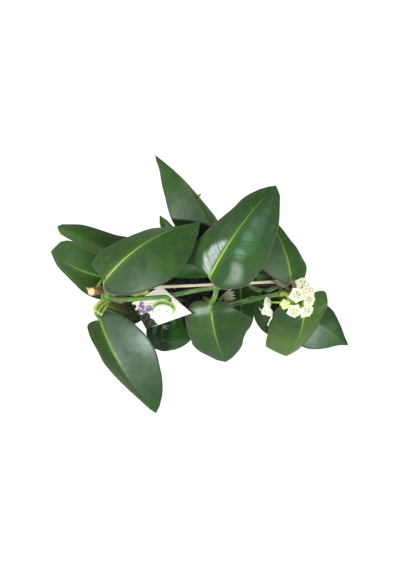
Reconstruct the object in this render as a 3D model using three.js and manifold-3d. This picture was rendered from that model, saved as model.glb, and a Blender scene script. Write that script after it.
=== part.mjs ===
// A potted hoya on a small fan trellis, in millimetres, +Z up.
// The origin is the centre of the pot's underside. +X is towards the flowers and +Y is the back.
import * as THREE from "three";
import { mergeVertices } from "three/addons/utils/BufferGeometryUtils.js";
import Module from "manifold-3d";

// Driving dimensions
const gap = 0.35;
const pot = { topDiameter: 120, baseDiameter: 88, height: 105, wall: 1.6, floor: 2.4, sectors: 36 };
const potRim = { height: 11, stand: 2.2 };
const drain = { count: 6, diameter: 9, ring: 31, sides: 8 };
const soil = { top: 93, heave: 1.4, rings: 6, sectors: 24 };
const cane = { diameter: 7.4, sides: 10, joints: 4, swell: 0.5 };
const canes = {
  left: { foot: [-28, 1, 40], top: [-96, -10, 286], turn: -1 },
  right: { foot: [22, -4, 40], top: [83, -0.5, 261], turn: 1 },
};
const rung = { diameter: 3.2, sides: 8, overhang: 6, heights: [146, 197, 248] };
const vine = { diameter: 4.2, sides: 6, step: 10, node: 6, reach: 7.8, depth: 24 };
const blade = { thickness: 1.1, midrib: 1.3, rows: 9, columns: 6 };
const petiole = { diameter: 3.4, sides: 6, step: 7, sink: 6 };
const label = { thickness: 0.9, bow: 3, stakeWidth: 9, rows: 6 };
const floret = { radius: 6.8, valley: 0.86, thickness: 0.9, corona: 1.7, reflex: 1.4 };
const pedicel = { diameter: 1.6, sides: 6, step: 5 };
const peduncleDiameter = 3.4;

// Places on the vines where leaves and flowers grow
const nodes = {
  a: [-80.6, -15, 284],
  b: [18.5, -6, 284],
  c: [78, -12, 262],
  d: besideCane("left", 224),
  e: [25, 18, 250],
  f: [-46, 12, 240],
  g: [-34, -18, 200],
  h: [24, -24, 205],
  i: [-10, 24, 241],
  k: [50, -18, 252],
  l: besideCane("right", 222),
  m: besideCane("left", 180),
  n: besideCane("right", 122),
  o: [2, 18, 184],
  p: [14, -21, 150],
  q: besideCane("left", 122),
  r: [12, 18, 215],
  t: besideCane("right", 150),
};

// Each leaf: its node, the petiole's bend, the blade's base and tip, the midrib's sideways bow and
// rise, and for its left and right half how far its lobe reaches back past the base, the angles at
// which it leans and its widths, both in even steps from base to tip.
const leaves = {
  leaf_upper_left: {
    node: "a", bend: [-79, -4, 293], base: [-81, 3, 293], tip: [2.9, 53.7, 288],
    bow: 17.2, rise: 16,
    left: { lobe: 0.11, lean: [-28, -92], widths: [22.5, 27.5, 25.5, 23, 22.5, 24.5, 22.5, 13.5, 5] },
    right: { lobe: 0.21, lean: [-8, -4], widths: [2, 27, 36, 40, 40, 37.5, 32, 22, 4.5] },
  },
  leaf_front_left: {
    node: "a", bend: [-92, -26, 287], base: [-88, -37, 279], tip: [-38.6, -125.6, 236],
    bow: -10.6, rise: 22,
    left: { lobe: 0.16, lean: [-16, -4], widths: [0, 23.5, 33, 36, 35.5, 31.5, 26, 17, 3] },
    right: { lobe: 0.06, lean: [-16, -58, -62], widths: [13.5, 16.5, 17.5, 21, 21.5, 19.5, 16, 11, 6] },
  },
  leaf_upper_centre: {
    node: "b", bend: [13, -3, 296], base: [12, 4, 301], tip: [71.1, 86, 298],
    bow: 7.8, rise: 24,
    left: { lobe: 0.09, lean: [-32, -46, -20], widths: [22, 34.5, 33.5, 31, 26, 21, 18, 10.5, 0] },
    right: { lobe: 0.14, lean: [-10, -8], widths: [8.5, 32.5, 37, 38, 35, 31.5, 26, 17, 6.5] },
  },
  leaf_front_centre: {
    node: "b", bend: [16.5, -14.5, 283], base: [13, -22, 276], tip: [28.1, -78.8, 205],
    bow: -6.6, rise: 44,
    left: { lobe: 0.08, lean: [-14, -10], widths: [9, 23.5, 32.5, 38.5, 32, 25.5, 21.5, 15, 6] },
    right: { lobe: 0.12, lean: [-32, -22], widths: [14, 26.5, 27.5, 27, 26.5, 26.5, 23, 14, 6] },
  },
  leaf_right_back: {
    node: "c", bend: [80, -5, 269], base: [87, 2, 273], tip: [61.9, 65.5, 264],
    bow: -7.6, rise: 16,
    left: { lobe: 0.18, lean: [-4, -10], widths: [2.5, 15.5, 24, 25, 21.5, 16.5, 11.5, 6, 0] },
    right: { lobe: 0.15, lean: [-34, -30], widths: [13, 20.5, 17.5, 14.5, 10, 7.5, 5.5, 3, 0.5] },
  },
  leaf_right_front: {
    node: "c", bend: [89, -12, 258], base: [99, -18, 256], tip: [87.8, -74.9, 200],
    bow: 10.4, rise: 38,
    left: { lobe: 0.17, lean: [0, -34, -42], widths: [21.5, 23, 17, 16, 15.5, 16.5, 15, 8.5, 0] },
    right: { lobe: 0.17, lean: [-12, -6], widths: [14.5, 22, 29, 31, 30.5, 28.5, 26.5, 26, 7] },
  },
  leaf_far_right: {
    node: "l", bend: [83, -20, 219], base: [97, -29, 217], tip: [147.2, -62.8, 203],
    bow: 1, rise: 12,
    left: { lobe: 0.25, lean: [-25, -15], widths: [11, 16.5, 20.5, 21.5, 20, 16, 11, 5, 1] },
    right: { lobe: 0.24, lean: [-20, -12], widths: [13, 19.5, 25, 28, 26, 21, 14, 5.5, 0] },
  },
  leaf_far_left_back: {
    node: "f", bend: [-53, 11, 250], base: [-59, 10, 253], tip: [-131.9, 51.3, 240],
    bow: -5.5, rise: 14,
    left: { lobe: 0.2, lean: [-55, -45], widths: [7, 9.5, 11, 11, 13, 12, 10, 9.5, 7] },
    right: { lobe: 0.19, lean: [-14, -12], widths: [13.5, 19.5, 23, 18.5, 16, 14, 11.5, 7, 2.5] },
  },
  leaf_far_left: {
    node: "d", bend: [-95, -8, 228], base: [-90, 4, 234], tip: [-140.9, 28.2, 214],
    bow: 6.8, rise: 22,
    left: { lobe: 0.3, lean: [-28, -50], widths: [26.5, 26, 23, 19, 17, 15.5, 13.5, 10, 5] },
    right: { lobe: 0.25, lean: [-12, -8], widths: [12.5, 19, 24, 26.5, 26.5, 24.5, 20.5, 17.5, 7] },
  },
  leaf_back: {
    node: "e", bend: [24, 27, 261], base: [19, 33, 265], tip: [-39.3, 118.9, 240],
    bow: -14.7, rise: 16,
    left: { lobe: 0.01, lean: [-8, -4], widths: [9.5, 21.5, 28, 29.5, 27, 22, 16, 8, 1.5] },
    right: { lobe: 0.18, lean: [-58, -84], widths: [13, 18, 20, 15, 14, 15, 15.5, 12, 7] },
  },
  leaf_under_label: {
    node: "g", bend: [-32, -26, 203], base: [-28, -31, 209], tip: [-33.1, -69.6, 184],
    bow: -7.1, rise: 24,
    left: { lobe: 0.25, lean: [-14, -8], widths: [9.5, 15.5, 21.5, 26, 29, 29, 24, 17, 7] },
    right: { lobe: 0.25, lean: [-14, -8], widths: [9, 12, 14.5, 15.5, 16, 15, 14, 12, 7] },
  },
  leaf_right_shade: {
    node: "k", bend: [53, -16, 234], base: [61, -19, 212], tip: [93, -58, 193],
    bow: 0, rise: 16,
    left: { lobe: 0.22, lean: [-10, -8], widths: [7.5, 12, 16.5, 18, 17.5, 15.5, 12, 6.5, 0] },
    right: { lobe: 0.22, lean: [-20, -16], widths: [7.5, 12, 16.5, 18, 17.5, 15, 11, 6, 0] },
  },
  leaf_centre_shade: {
    node: "h", bend: [34, -17, 209], base: [42, -10, 218], tip: [43, -56, 192],
    bow: 0, rise: 24,
    left: { lobe: 0.22, lean: [-14, -10], widths: [5.5, 8.5, 11.5, 13, 12.5, 11, 8.5, 5, 0] },
    right: { lobe: 0.22, lean: [-14, -10], widths: [5, 8, 11, 12, 11.5, 10.5, 8, 4.5, 0] },
  },
  leaf_middle: {
    node: "e", bend: [22, 11, 256], base: [16, 13, 259], tip: [-44, 20, 252],
    bow: 0.6, rise: 10,
    left: { lobe: 0.25, lean: [-30, -20], widths: [8.5, 11, 13.5, 14.5, 15, 15, 12, 7.5, 1] },
    right: { lobe: 0.1, lean: [-14, -10], widths: [7, 11.5, 15, 16, 15.5, 14, 11, 6.5, 0] },
  },
  leaf_small_back: {
    node: "i", bend: [-13, 30, 246], base: [-17, 34, 247], tip: [-35, 62, 246],
    bow: 2, rise: 6,
    left: { lobe: 0.22, lean: [20, 10], widths: [2.5, 4, 5.5, 6, 6, 5, 4, 2, 0] },
    right: { lobe: 0.22, lean: [20, 10], widths: [2.5, 4, 5.5, 6, 6, 5, 4, 2, 0] },
  },
  leaf_left_shade: {
    node: "d", bend: [-88, -16, 229], base: [-82, -25, 231], tip: [-50, -36, 222],
    bow: 0, rise: 8,
    left: { lobe: 0.22, lean: [-10, -8], widths: [5.5, 8.5, 11.5, 13, 13, 12.5, 10.5, 6.5, 0] },
    right: { lobe: 0.22, lean: [-10, -8], widths: [5.5, 8.5, 11.5, 13, 13, 12.5, 10.5, 6.5, 0] },
  },
  leaf_right_middle: {
    node: "r", bend: [23, 9, 219], base: [32, 12, 228], tip: [84, 15, 226],
    bow: 0, rise: 16,
    left: { lobe: 0.22, lean: [-15, -10], widths: [6.5, 10.5, 14.5, 16, 15.5, 14, 10.5, 6, 0] },
    right: { lobe: 0.22, lean: [-30, -20], widths: [4, 7, 11, 14.5, 15, 12.5, 8.5, 4.5, 0] },
  },
  leaf_lower_left: {
    node: "q", bend: [-67, -6, 127], base: [-74, 0, 138], tip: [-118, 18, 126],
    bow: 0, rise: 26,
    left: { lobe: 0.22, lean: [-20, -14], widths: [9, 14, 19, 20, 19, 17, 13, 7.5, 0] },
    right: { lobe: 0.22, lean: [-20, -14], widths: [9, 14, 19, 20, 19, 17, 13, 7.5, 0] },
  },
  leaf_lower_front_left: {
    node: "m", bend: [-56, -17, 183], base: [-66, -27, 184], tip: [-78, -88, 160],
    bow: 0, rise: 20,
    left: { lobe: 0.22, lean: [-16, -12], widths: [4.5, 6.5, 8.5, 9.5, 10.5, 11, 9.5, 6, 0] },
    right: { lobe: 0.22, lean: [-16, -12], widths: [8, 12.5, 16.5, 18, 17, 15, 12, 7, 0] },
  },
  leaf_lower_right: {
    node: "n", bend: [61, -6, 128], base: [68, -12, 136], tip: [110, -40, 122],
    bow: 0, rise: 26,
    left: { lobe: 0.22, lean: [-18, -12], widths: [9, 14, 19, 20, 19, 17, 13, 7.5, 0] },
    right: { lobe: 0.22, lean: [-18, -12], widths: [9, 14, 19, 20, 19, 17, 13, 7.5, 0] },
  },
  leaf_lower_back: {
    node: "o", bend: [4, 27, 187], base: [4, 34, 190], tip: [-14, 86, 162],
    bow: 0, rise: 22,
    left: { lobe: 0.22, lean: [-20, -14], widths: [8, 12.5, 16.5, 17, 15, 12.5, 9, 5, 0] },
    right: { lobe: 0.22, lean: [-20, -14], widths: [8, 12.5, 16.5, 17, 15, 12.5, 9, 5, 0] },
  },
  leaf_lower_back_right: {
    node: "t", bend: [54, 14, 160], base: [54, 20, 166], tip: [66, 66, 144],
    bow: 0, rise: 20,
    left: { lobe: 0.22, lean: [-18, -12], widths: [8, 12.5, 17, 18, 17.5, 15.5, 12, 6.5, 0] },
    right: { lobe: 0.22, lean: [-18, -12], widths: [8, 12.5, 17, 18, 17.5, 15.5, 12, 6.5, 0] },
  },
  leaf_lower_front: {
    node: "p", bend: [13, -29, 153], base: [13, -35, 157], tip: [21, -70, 134],
    bow: 0, rise: 22,
    left: { lobe: 0.22, lean: [-18, -12], widths: [8, 12.5, 17, 18, 17.5, 15.5, 12, 6.5, 0] },
    right: { lobe: 0.22, lean: [-18, -12], widths: [8, 12.5, 17, 18, 17.5, 15.5, 12, 6.5, 0] },
  },
};

// Each vine: where it stands in the soil, its route, and its swollen nodes
const vines = {
  vine_left: {
    hole: [-44, -12],
    route: [...turnsRound("left", 112, 262), nodes.a, [-66, -15.5, 286], [-40, -14, 284], [-28, -14.5, 283],
      [-24.5, -17.5, 281]],
    swellings: ["a", "d", "m", "q"],
  },
  vine_centre: {
    hole: [-16, -20],
    route: [[-22, -19, 130], [-30, -18, 165], nodes.g, [-38, -16, 235], [-33, -14.5, 254], [-21, -13, 263],
      [2, -8.5, 276], nodes.b, [25, -4.5, 286]],
    swellings: ["b", "g"],
  },
  vine_right: {
    hole: [8, -18],
    route: [[12, -20, 125], nodes.p, [19, -23, 180], nodes.h, [27, -24, 232], nodes.k, [64, -15, 258],
      nodes.c],
    swellings: ["c", "h", "k", "p"],
  },
  vine_back: {
    hole: [-8, 12],
    route: [[-4, 15, 140], nodes.o, nodes.r, [20, 20, 236], nodes.e, [12, 26, 250], nodes.i, [-30, 18, 240],
      nodes.f],
    swellings: ["e", "f", "i", "o", "r"],
  },
  vine_right_cane: {
    hole: [44, -11],
    route: [...turnsRound("right", 112, 230)],
    swellings: ["l", "n", "t"],
  },
};

// Care card: its corners in order round the sheet, and the foot of its stake
const card = {
  back: [-33, -5, 267],
  right: [-4.5, -30, 273],
  front: [-47, -45, 262],
  left: [-61, -21, 250],
  stakeHead: [0.14, 0.15],
  stakeFoot: [-43, -19, 62],
};

// Umbel: its hub, and each floret's centre and the direction it faces
const umbelHub = [86, -17, 274];
const florets = {
  floret_1: { at: [95.6, -0.6, 286], face: [0.2, 0.6, 0.8] },
  floret_2: { at: [103.6, -7, 289.5], face: [0.6, 0.35, 0.75] },
  floret_3: { at: [104, -18, 288], face: [0.75, -0.05, 0.7] },
  floret_4: { at: [100.6, -28.5, 284], face: [0.5, -0.5, 0.75] },
  floret_5: { at: [90.2, -13, 295], face: [-0.1, 0.1, 1] },
  floret_6: { at: [87.9, -29, 284], face: [-0.1, -0.6, 0.8] },
};
const bud = { at: [79.5, -21.2, 284], face: [-0.5, -0.1, 0.8], radius: 4.4 };
const witheredAt = [64.7, -19.5, 272];
const dried = {
  root: [19, -17.5, 248], spread: 18, teeth: 5,
  stalk: [[20.5, -17.2, 247], [22.5, -19.5, 242], [25.6, -22, 236]],
};

const wasm = await Module();
wasm.setup();

const plant = new THREE.Group();

function vec(point) {
  return new THREE.Vector3(...point);
}

function besideCane(side, height) {
  const { foot, top, turn } = canes[side];
  const share = (height - foot[2]) / (top[2] - foot[2]);
  const lap = (height - rung.heights[0]) / (rung.heights[1] - rung.heights[0]);
  const angle = Math.PI * (0.5 + turn * lap);
  return [
    foot[0] + (top[0] - foot[0]) * share + vine.reach * Math.cos(angle),
    foot[1] + (top[1] - foot[1]) * share + vine.reach * Math.sin(angle),
    height,
  ];
}

// A vine that winds round a cane passes in front of it at one rung and behind it at the next.
function turnsRound(side, from, to) {
  const rise = 13;
  const count = Math.round((to - from) / rise);
  return Array.from({ length: count + 1 }, (_, i) => besideCane(side, from + ((to - from) * i) / count));
}

function solidOf(geometry) {
  const bare = geometry.clone();
  bare.deleteAttribute("normal");
  bare.deleteAttribute("uv");
  const merged = mergeVertices(bare, 1e-4);
  return new wasm.Manifold(
    new wasm.Mesh({
      numProp: 3,
      vertProperties: merged.attributes.position.array,
      triVerts: new Uint32Array(merged.index.array),
    }),
  );
}

function geometryOf(solid) {
  const mesh = solid.getMesh();
  const geometry = new THREE.BufferGeometry();
  geometry.setAttribute("position", new THREE.BufferAttribute(mesh.vertProperties, 3));
  geometry.setIndex(new THREE.BufferAttribute(mesh.triVerts, 1));
  geometry.computeVertexNormals();
  return geometry;
}

function addPiece(name, solid, finish) {
  const mesh = new THREE.Mesh(geometryOf(solid), new THREE.MeshStandardMaterial(finish));
  mesh.name = name;
  plant.add(mesh);
}

// A tube of round section along a smooth curve through the points
function tube(points, diameter, sides, step) {
  const route = new THREE.CatmullRomCurve3(points.map(vec), false, "centripetal");
  const section = new THREE.Shape();
  section.absarc(0, 0, diameter / 2, 0, 2 * Math.PI, false);
  const steps = Math.max(2, Math.round(route.getLength() / step));
  const settings = { steps, curveSegments: sides / 2, bevelEnabled: false, extrudePath: route };
  return solidOf(new THREE.ExtrudeGeometry(section, settings));
}

// A straight round bar between two points
function bar(from, to, diameter, sides) {
  return tube([from, to], diameter, sides, 1e6);
}

function ball(centre, diameter, segments = 6, rings = 4) {
  const sphere = new THREE.SphereGeometry(diameter / 2, segments, rings);
  return solidOf(sphere.translate(...centre));
}

// A closed sheet with its front face on the given surface. u runs along it and v from -1 to 1 across.
function sheet(surface, thicknessAt, rows, columns) {
  const points = [];
  const front = [];
  const back = [];
  const nudge = 0.004;
  for (let i = 0; i <= rows; i++) {
    for (let j = 0; j <= columns; j++) {
      const u = i / rows;
      const v = (2 * j) / columns - 1;
      const uIn = THREE.MathUtils.clamp(u, 0.04, 0.96);
      const vIn = THREE.MathUtils.clamp(v, -0.96, 0.96);
      const along = surface(uIn + nudge, vIn).sub(surface(uIn - nudge, vIn));
      const across = surface(uIn, vIn + nudge).sub(surface(uIn, vIn - nudge));
      const normal = along.cross(across).normalize();
      const place = surface(u, v);
      front.push(points.length);
      points.push(place);
      back.push(points.length);
      points.push(place.clone().addScaledVector(normal, -thicknessAt(u, v)));
    }
  }
  // the two ends of a blade close on one point of each face
  const width = columns + 1;
  const closed = [0, rows].filter((i) => {
    const [corner, next] = [points[front[i * width]], points[front[i * width + 1]]];
    return corner.distanceTo(next) < 1e-6;
  });
  for (const i of closed) {
    for (let j = 0; j <= columns; j++) {
      front[i * width + j] = front[i * width + columns / 2];
      back[i * width + j] = back[i * width + columns / 2];
    }
  }
  const faces = [];
  const quad = (a, b, c, d) => faces.push([a, b, c], [a, c, d]);
  for (let i = 0; i < rows; i++) {
    for (let j = 0; j < columns; j++) {
      const [a, b, c, d] = [i * width + j, (i + 1) * width + j, (i + 1) * width + j + 1, i * width + j + 1];
      quad(front[a], front[b], front[c], front[d]);
      quad(back[d], back[c], back[b], back[a]);
    }
    const [first, next] = [i * width, (i + 1) * width];
    quad(front[first + columns], front[next + columns], back[next + columns], back[first + columns]);
    quad(back[first], back[next], front[next], front[first]);
  }
  for (let j = 0; j < columns; j++) {
    const last = rows * width + j;
    quad(back[j], front[j], front[j + 1], back[j + 1]);
    quad(front[last], back[last], back[last + 1], front[last + 1]);
  }
  return indexedSolid(points, faces);
}

function indexedSolid(points, faces) {
  const used = faces.filter(([a, b, c]) => a !== b && b !== c && a !== c);
  const order = new Map();
  for (const corner of used.flat()) {
    if (!order.has(corner)) order.set(corner, order.size);
  }
  const vertProperties = new Float32Array(order.size * 3);
  for (const [corner, place] of order) points[corner].toArray(vertProperties, place * 3);
  const triVerts = new Uint32Array(used.flat().map((corner) => order.get(corner)));
  return new wasm.Manifold(new wasm.Mesh({ numProp: 3, vertProperties, triVerts }));
}

// Pot: one moulded shell with a collar and drain holes
function makePot() {
  const { topDiameter, baseDiameter, height, wall, floor, sectors } = pot;
  const [base, top] = [baseDiameter / 2, topDiameter / 2 - potRim.stand];
  const collar = height - potRim.height;
  const under = base + ((top - base) * collar) / height;
  const profile = [
    [0, 0], [base - 1.2, 0], [base, 1.2], [under, collar], [under + potRim.stand, collar],
    [topDiameter / 2, height - 1], [topDiameter / 2 - 0.8, height], [top - wall, height],
    [base - wall + 0.4, floor + 2], [base - wall - 1.6, floor], [0, floor],
  ];
  let shell = solidOf(new THREE.LatheGeometry(profile.map(([x, y]) => new THREE.Vector2(x, y)), sectors)
    .rotateX(Math.PI / 2));
  for (let i = 0; i < drain.count; i++) {
    const angle = (2 * Math.PI * (i + 0.5)) / drain.count;
    const [x, y] = [drain.ring * Math.cos(angle), drain.ring * Math.sin(angle)];
    shell = shell.subtract(bar([x, y, -1], [x, y, floor + 1], drain.diameter, drain.sides));
  }
  return shell;
}

// Soil: a plug that fills the pot, heaved a little at the top, with a plain hole for each thing that
// stands in it
function makeSoil(holes) {
  const { topDiameter, baseDiameter, height, wall, floor } = pot;
  const inner = (z) => baseDiameter / 2 - wall + 0.4 + ((topDiameter - baseDiameter - 2 * potRim.stand - 0.8)
    * (z - floor - 2)) / (2 * (height - floor - 2)) - 2 * gap;
  const bottom = floor + 3;
  const profile = [[0, bottom], [inner(bottom) - 1, bottom], [inner(bottom + 1) - 0.2, bottom + 1],
    [inner(soil.top), soil.top]];
  for (let i = soil.rings - 1; i >= 0; i--) {
    profile.push([(inner(soil.top) * i) / soil.rings, soil.top]);
  }
  const plug = new THREE.LatheGeometry(profile.map(([x, y]) => new THREE.Vector2(x, y)), soil.sectors)
    .rotateX(Math.PI / 2);
  const spot = plug.attributes.position;
  for (let i = 0; i < spot.count; i++) {
    const [x, y, z] = [spot.getX(i), spot.getY(i), spot.getZ(i)];
    if (z < soil.top - 1) continue;
    const inside = 1 - Math.hypot(x, y) / inner(soil.top);
    const lift = Math.sin(x * 0.31 + 1) * Math.cos(y * 0.27) + 0.6 * Math.sin(x * 0.83 + y * 0.71);
    spot.setZ(i, z + soil.heave * lift * Math.min(1, 4 * inside) + 2 * inside);
  }
  return holes.reduce((plugSolid, hole) => plugSolid.subtract(hole), solidOf(plug));
}

// Cane: a round bar, swollen a little at its joints, drilled for the rungs
function makeCane({ foot, top }, drills) {
  const axis = vec(top).sub(vec(foot));
  const rings = cane.joints * 3;
  const profile = [[0, 0]];
  for (let i = 0; i <= rings; i++) {
    const swollen = i % 3 === 1 && i < rings ? cane.swell : 0;
    profile.push([cane.diameter / 2 + swollen, (axis.length() * i) / rings]);
  }
  profile.push([0, axis.length()]);
  const shaft = new THREE.LatheGeometry(profile.map(([x, y]) => new THREE.Vector2(x, y)), cane.sides);
  const turn = new THREE.Quaternion().setFromUnitVectors(new THREE.Vector3(0, 1, 0), axis.normalize());
  shaft.applyQuaternion(turn).translate(...foot);
  return drills.reduce((solid, drill) => solid.subtract(drill), solidOf(shaft));
}

function canePoint({ foot, top }, height) {
  const share = (height - foot[2]) / (top[2] - foot[2]);
  return vec(foot).lerp(vec(top), share);
}

function rungEnds(height) {
  const [left, right] = [canePoint(canes.left, height), canePoint(canes.right, height)];
  const out = right.clone().sub(left).normalize().multiplyScalar(rung.overhang);
  return [left.sub(out).toArray(), right.add(out).toArray()];
}

function makeVine({ hole, route, swellings }) {
  const [x, y] = hole;
  const start = [0, 10, 20, vine.depth + 3].map((lift) => [x, y, soil.top - vine.depth + lift]);
  let stem = tube([...start, ...route], vine.diameter, vine.sides, vine.step);
  for (const key of swellings) stem = stem.add(ball(nodes[key], vine.node));
  return stem;
}

// A smooth curve through values given in even steps
function blend(values, u) {
  const spot = THREE.MathUtils.clamp(u, 0, 1) * (values.length - 1);
  const i = Math.min(Math.floor(spot), values.length - 2);
  const t = spot - i;
  const [b, c] = [values[i], values[i + 1]];
  const a = i > 0 ? values[i - 1] : 2 * b - c;
  const d = i < values.length - 2 ? values[i + 2] : 2 * c - b;
  const [slope, bend, twist] = [c - a, 2 * a - 5 * b + 4 * c - d, 3 * b - a - 3 * c + d];
  return b + 0.5 * (slope * t + bend * t ** 2 + twist * t ** 3);
}

// How far a blade has opened at u along it, closing again at the tip
function opening(u) {
  return Math.sin((Math.PI / 2) * Math.min(1, u / 0.06)) ** 0.55 * Math.min(1, (1 - u) / 0.04) ** 0.5;
}

function makeLeaf({ node, bend, base, tip, bow, rise, left, right }) {
  const chord = vec(tip).sub(vec(base));
  const leftward = new THREE.Vector3(-chord.y, chord.x, 0).normalize();
  const middle = vec(base).addScaledVector(chord, 0.5).addScaledVector(leftward, bow);
  middle.z += rise;
  const midrib = new THREE.QuadraticBezierCurve3(vec(base), middle, vec(tip));
  const length = midrib.getLength();
  const surface = (even, v) => {
    const u = THREE.MathUtils.clamp(even - 0.1 * Math.sin(2 * Math.PI * even), 0, 1);
    const half = v > 0 ? left : right;
    const back = half.lobe * opening(u) * Math.abs(v) ** 1.5 * (1 - u) ** 6;
    const along = midrib.getTangentAt(u);
    const place = midrib.getPointAt(u).addScaledVector(along, -back * length);
    const across = leftward.clone().addScaledVector(along, -leftward.dot(along)).normalize();
    const up = along.clone().cross(across);
    const angle = THREE.MathUtils.degToRad(blend(half.lean, u));
    const out = Math.abs(v) * opening(u) * blend(half.widths, u);
    return place
      .addScaledVector(across, Math.sign(v) * out * Math.cos(angle))
      .addScaledVector(up, out * Math.sin(angle));
  };
  const thicknessAt = (u, v) => blade.thickness
    + (v === 0 ? blade.midrib * Math.min(1, 3 * (1 - u)) : 0);
  const bladeSolid = sheet(surface, thicknessAt, blade.rows, blade.columns);
  const towards = midrib.getTangentAt(0);
  const start = vec(nodes[node]).add(vec(bend).sub(vec(nodes[node])).setLength(vine.node / 2 + gap + 0.2));
  const root = vec(base).add(new THREE.Vector3(0, 0, -1));
  const end = root.clone().addScaledVector(towards, petiole.sink).add(new THREE.Vector3(0, 0, -0.2));
  const stalk = tube(
    [start.toArray(), bend, root.toArray(), end.toArray()], petiole.diameter, petiole.sides, petiole.step,
  );
  return bladeSolid.add(stalk);
}

// Care card: a thin bent sheet, and the flat stake that it stands on
function cardSurface(u, v) {
  const near = vec(card.left).lerp(vec(card.front), (1 - v) / 2);
  const far = vec(card.back).lerp(vec(card.right), (1 - v) / 2);
  const place = near.lerp(far, u);
  place.z += label.bow * Math.sin(Math.PI * u);
  return place;
}

function makeStake(width, thickness, raised, deeper) {
  const head = cardSurface(...card.stakeHead).add(new THREE.Vector3(0, 0, -label.thickness / 2));
  const edge = vec(card.front).sub(vec(card.left)).setLength(width / 2);
  const outward = new THREE.Vector3(edge.y, -edge.x, 0).setLength(raised);
  const foot = vec(card.stakeFoot).add(new THREE.Vector3(0, 0, -deeper));
  const surface = (u, v) => foot.clone().lerp(head, u).add(outward)
    .addScaledVector(edge, v * Math.min(1, 0.4 + 4 * u));
  return sheet(surface, () => thickness, 5, 2);
}

function makeLabel() {
  const panel = sheet(cardSurface, () => label.thickness, label.rows, 2);
  return panel.add(makeStake(label.stakeWidth, label.thickness, 0, 0));
}

function turned(face) {
  return new THREE.Quaternion().setFromUnitVectors(new THREE.Vector3(0, 0, 1), vec(face).normalize());
}

// Floret: five pointed petals in one star, bent back at the tips, round a raised five-lobed crown
function makeFloret({ at, face }) {
  const rings = [[0.28, 1], [0.5, 0.35], [1, -1]];
  const count = 10;
  const turn = turned(face);
  const place = (r, angle, z) => new THREE.Vector3(r * Math.cos(angle), r * Math.sin(angle), z)
    .applyQuaternion(turn).add(vec(at));
  const points = [place(0, 0, floret.corona * 0.5), place(0, 0, -floret.thickness)];
  for (const [share, level] of rings) {
    for (let i = 0; i < count; i++) {
      const pointed = i % 2 === 0;
      const outward = share === 1 && !pointed ? floret.valley : 1;
      const angle = (2 * Math.PI * i) / count;
      const crown = pointed ? 1 : 0.45;
      const z = level > 0 ? floret.corona * level * crown : -floret.reflex * (pointed ? 1 : 0.3);
      const r = floret.radius * share * outward;
      points.push(place(r, angle, z), place(r, angle, Math.min(z, 0) - floret.thickness));
    }
  }
  const spot = (ring, i, side) => 2 + (ring * count + (i % count)) * 2 + side;
  const faces = [];
  for (let i = 0; i < count; i++) {
    faces.push([0, spot(0, i, 0), spot(0, i + 1, 0)], [1, spot(0, i + 1, 1), spot(0, i, 1)]);
    for (let ring = 0; ring < rings.length - 1; ring++) {
      const [a, b] = [spot(ring, i, 0), spot(ring + 1, i, 0)];
      const [c, d] = [spot(ring + 1, i + 1, 0), spot(ring, i + 1, 0)];
      faces.push([a, b, c], [a, c, d]);
      faces.push([a + 1, c + 1, b + 1], [a + 1, d + 1, c + 1]);
    }
    const [rim, next] = [spot(2, i, 0), spot(2, i + 1, 0)];
    faces.push([rim, rim + 1, next + 1], [rim, next + 1, next]);
  }
  return indexedSolid(points, faces);
}

// Bud: a closed five-sided cushion
function makeBud() {
  const cushion = new THREE.SphereGeometry(bud.radius, 10, 6).rotateX(Math.PI / 2).scale(1, 1, 0.62);
  return solidOf(cushion.applyQuaternion(turned(bud.face)).translate(...bud.at));
}

// Umbel stalk: the peduncle from its vine to the hub and a pedicel to the back of each floret
function makeUmbelStalk() {
  const from = vec(nodes.c).add(vec(umbelHub).sub(vec(nodes.c)).setLength(vine.node / 2 + gap + 0.3));
  let stalk = bar(from.toArray(), umbelHub, peduncleDiameter, 8).add(ball(umbelHub, 5));
  const routes = [...Object.values(florets), bud].map(({ at, face, radius }) => {
    const back = radius ? 0.62 * radius : floret.thickness;
    const end = vec(at).addScaledVector(vec(face).normalize(), -back - gap);
    const before = end.clone().addScaledVector(vec(face).normalize(), -4);
    return [umbelHub, before.toArray(), end.toArray()];
  });
  const withered = vec(witheredAt).add(new THREE.Vector3(4.2, -0.5, 0.5));
  routes.push([umbelHub, [78, -19.5, 275], withered.toArray()]);
  for (const route of routes) stalk = stalk.add(tube(route, pedicel.diameter, pedicel.sides, pedicel.step));
  return stalk;
}

// Withered floret: a shrunken bulb with limp petals hanging from it
function makeWithered() {
  const [x, y, z] = witheredAt;
  let body = ball([x, y, z], 6.5);
  const petals = [[-4, -10, -3], [1, -12, -4], [5, -9, -4], [2, -17, -8]];
  for (const [dx, dy, dz] of petals) {
    const droop = [x + dx * 0.5, y + dy * 0.6, z + dz * 0.2];
    body = body.add(tube([[x, y, z], droop, [x + dx, y + dy, z + dz]], 2.4, 6, 5));
  }
  return body;
}

// Dried flower: a small fan with a toothed rim on a dry stalk
function makeDried() {
  const [x, y, z] = dried.root;
  const reach = (u, v) => {
    const tooth = 1 - 0.16 * u * Math.abs(Math.sin(Math.PI * dried.teeth * 0.5 * v));
    const angle = THREE.MathUtils.degToRad(14 + 26 * v);
    const r = dried.spread * (0.06 + 0.94 * u) * tooth;
    const lift = 3 * u * (1 - v * v) - 3 * u;
    return new THREE.Vector3(x + r * Math.cos(angle), y + r * Math.sin(angle), z + lift);
  };
  return sheet(reach, () => 0.9, 3, 10).add(tube(dried.stalk, pedicel.diameter, pedicel.sides, pedicel.step));
}

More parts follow.
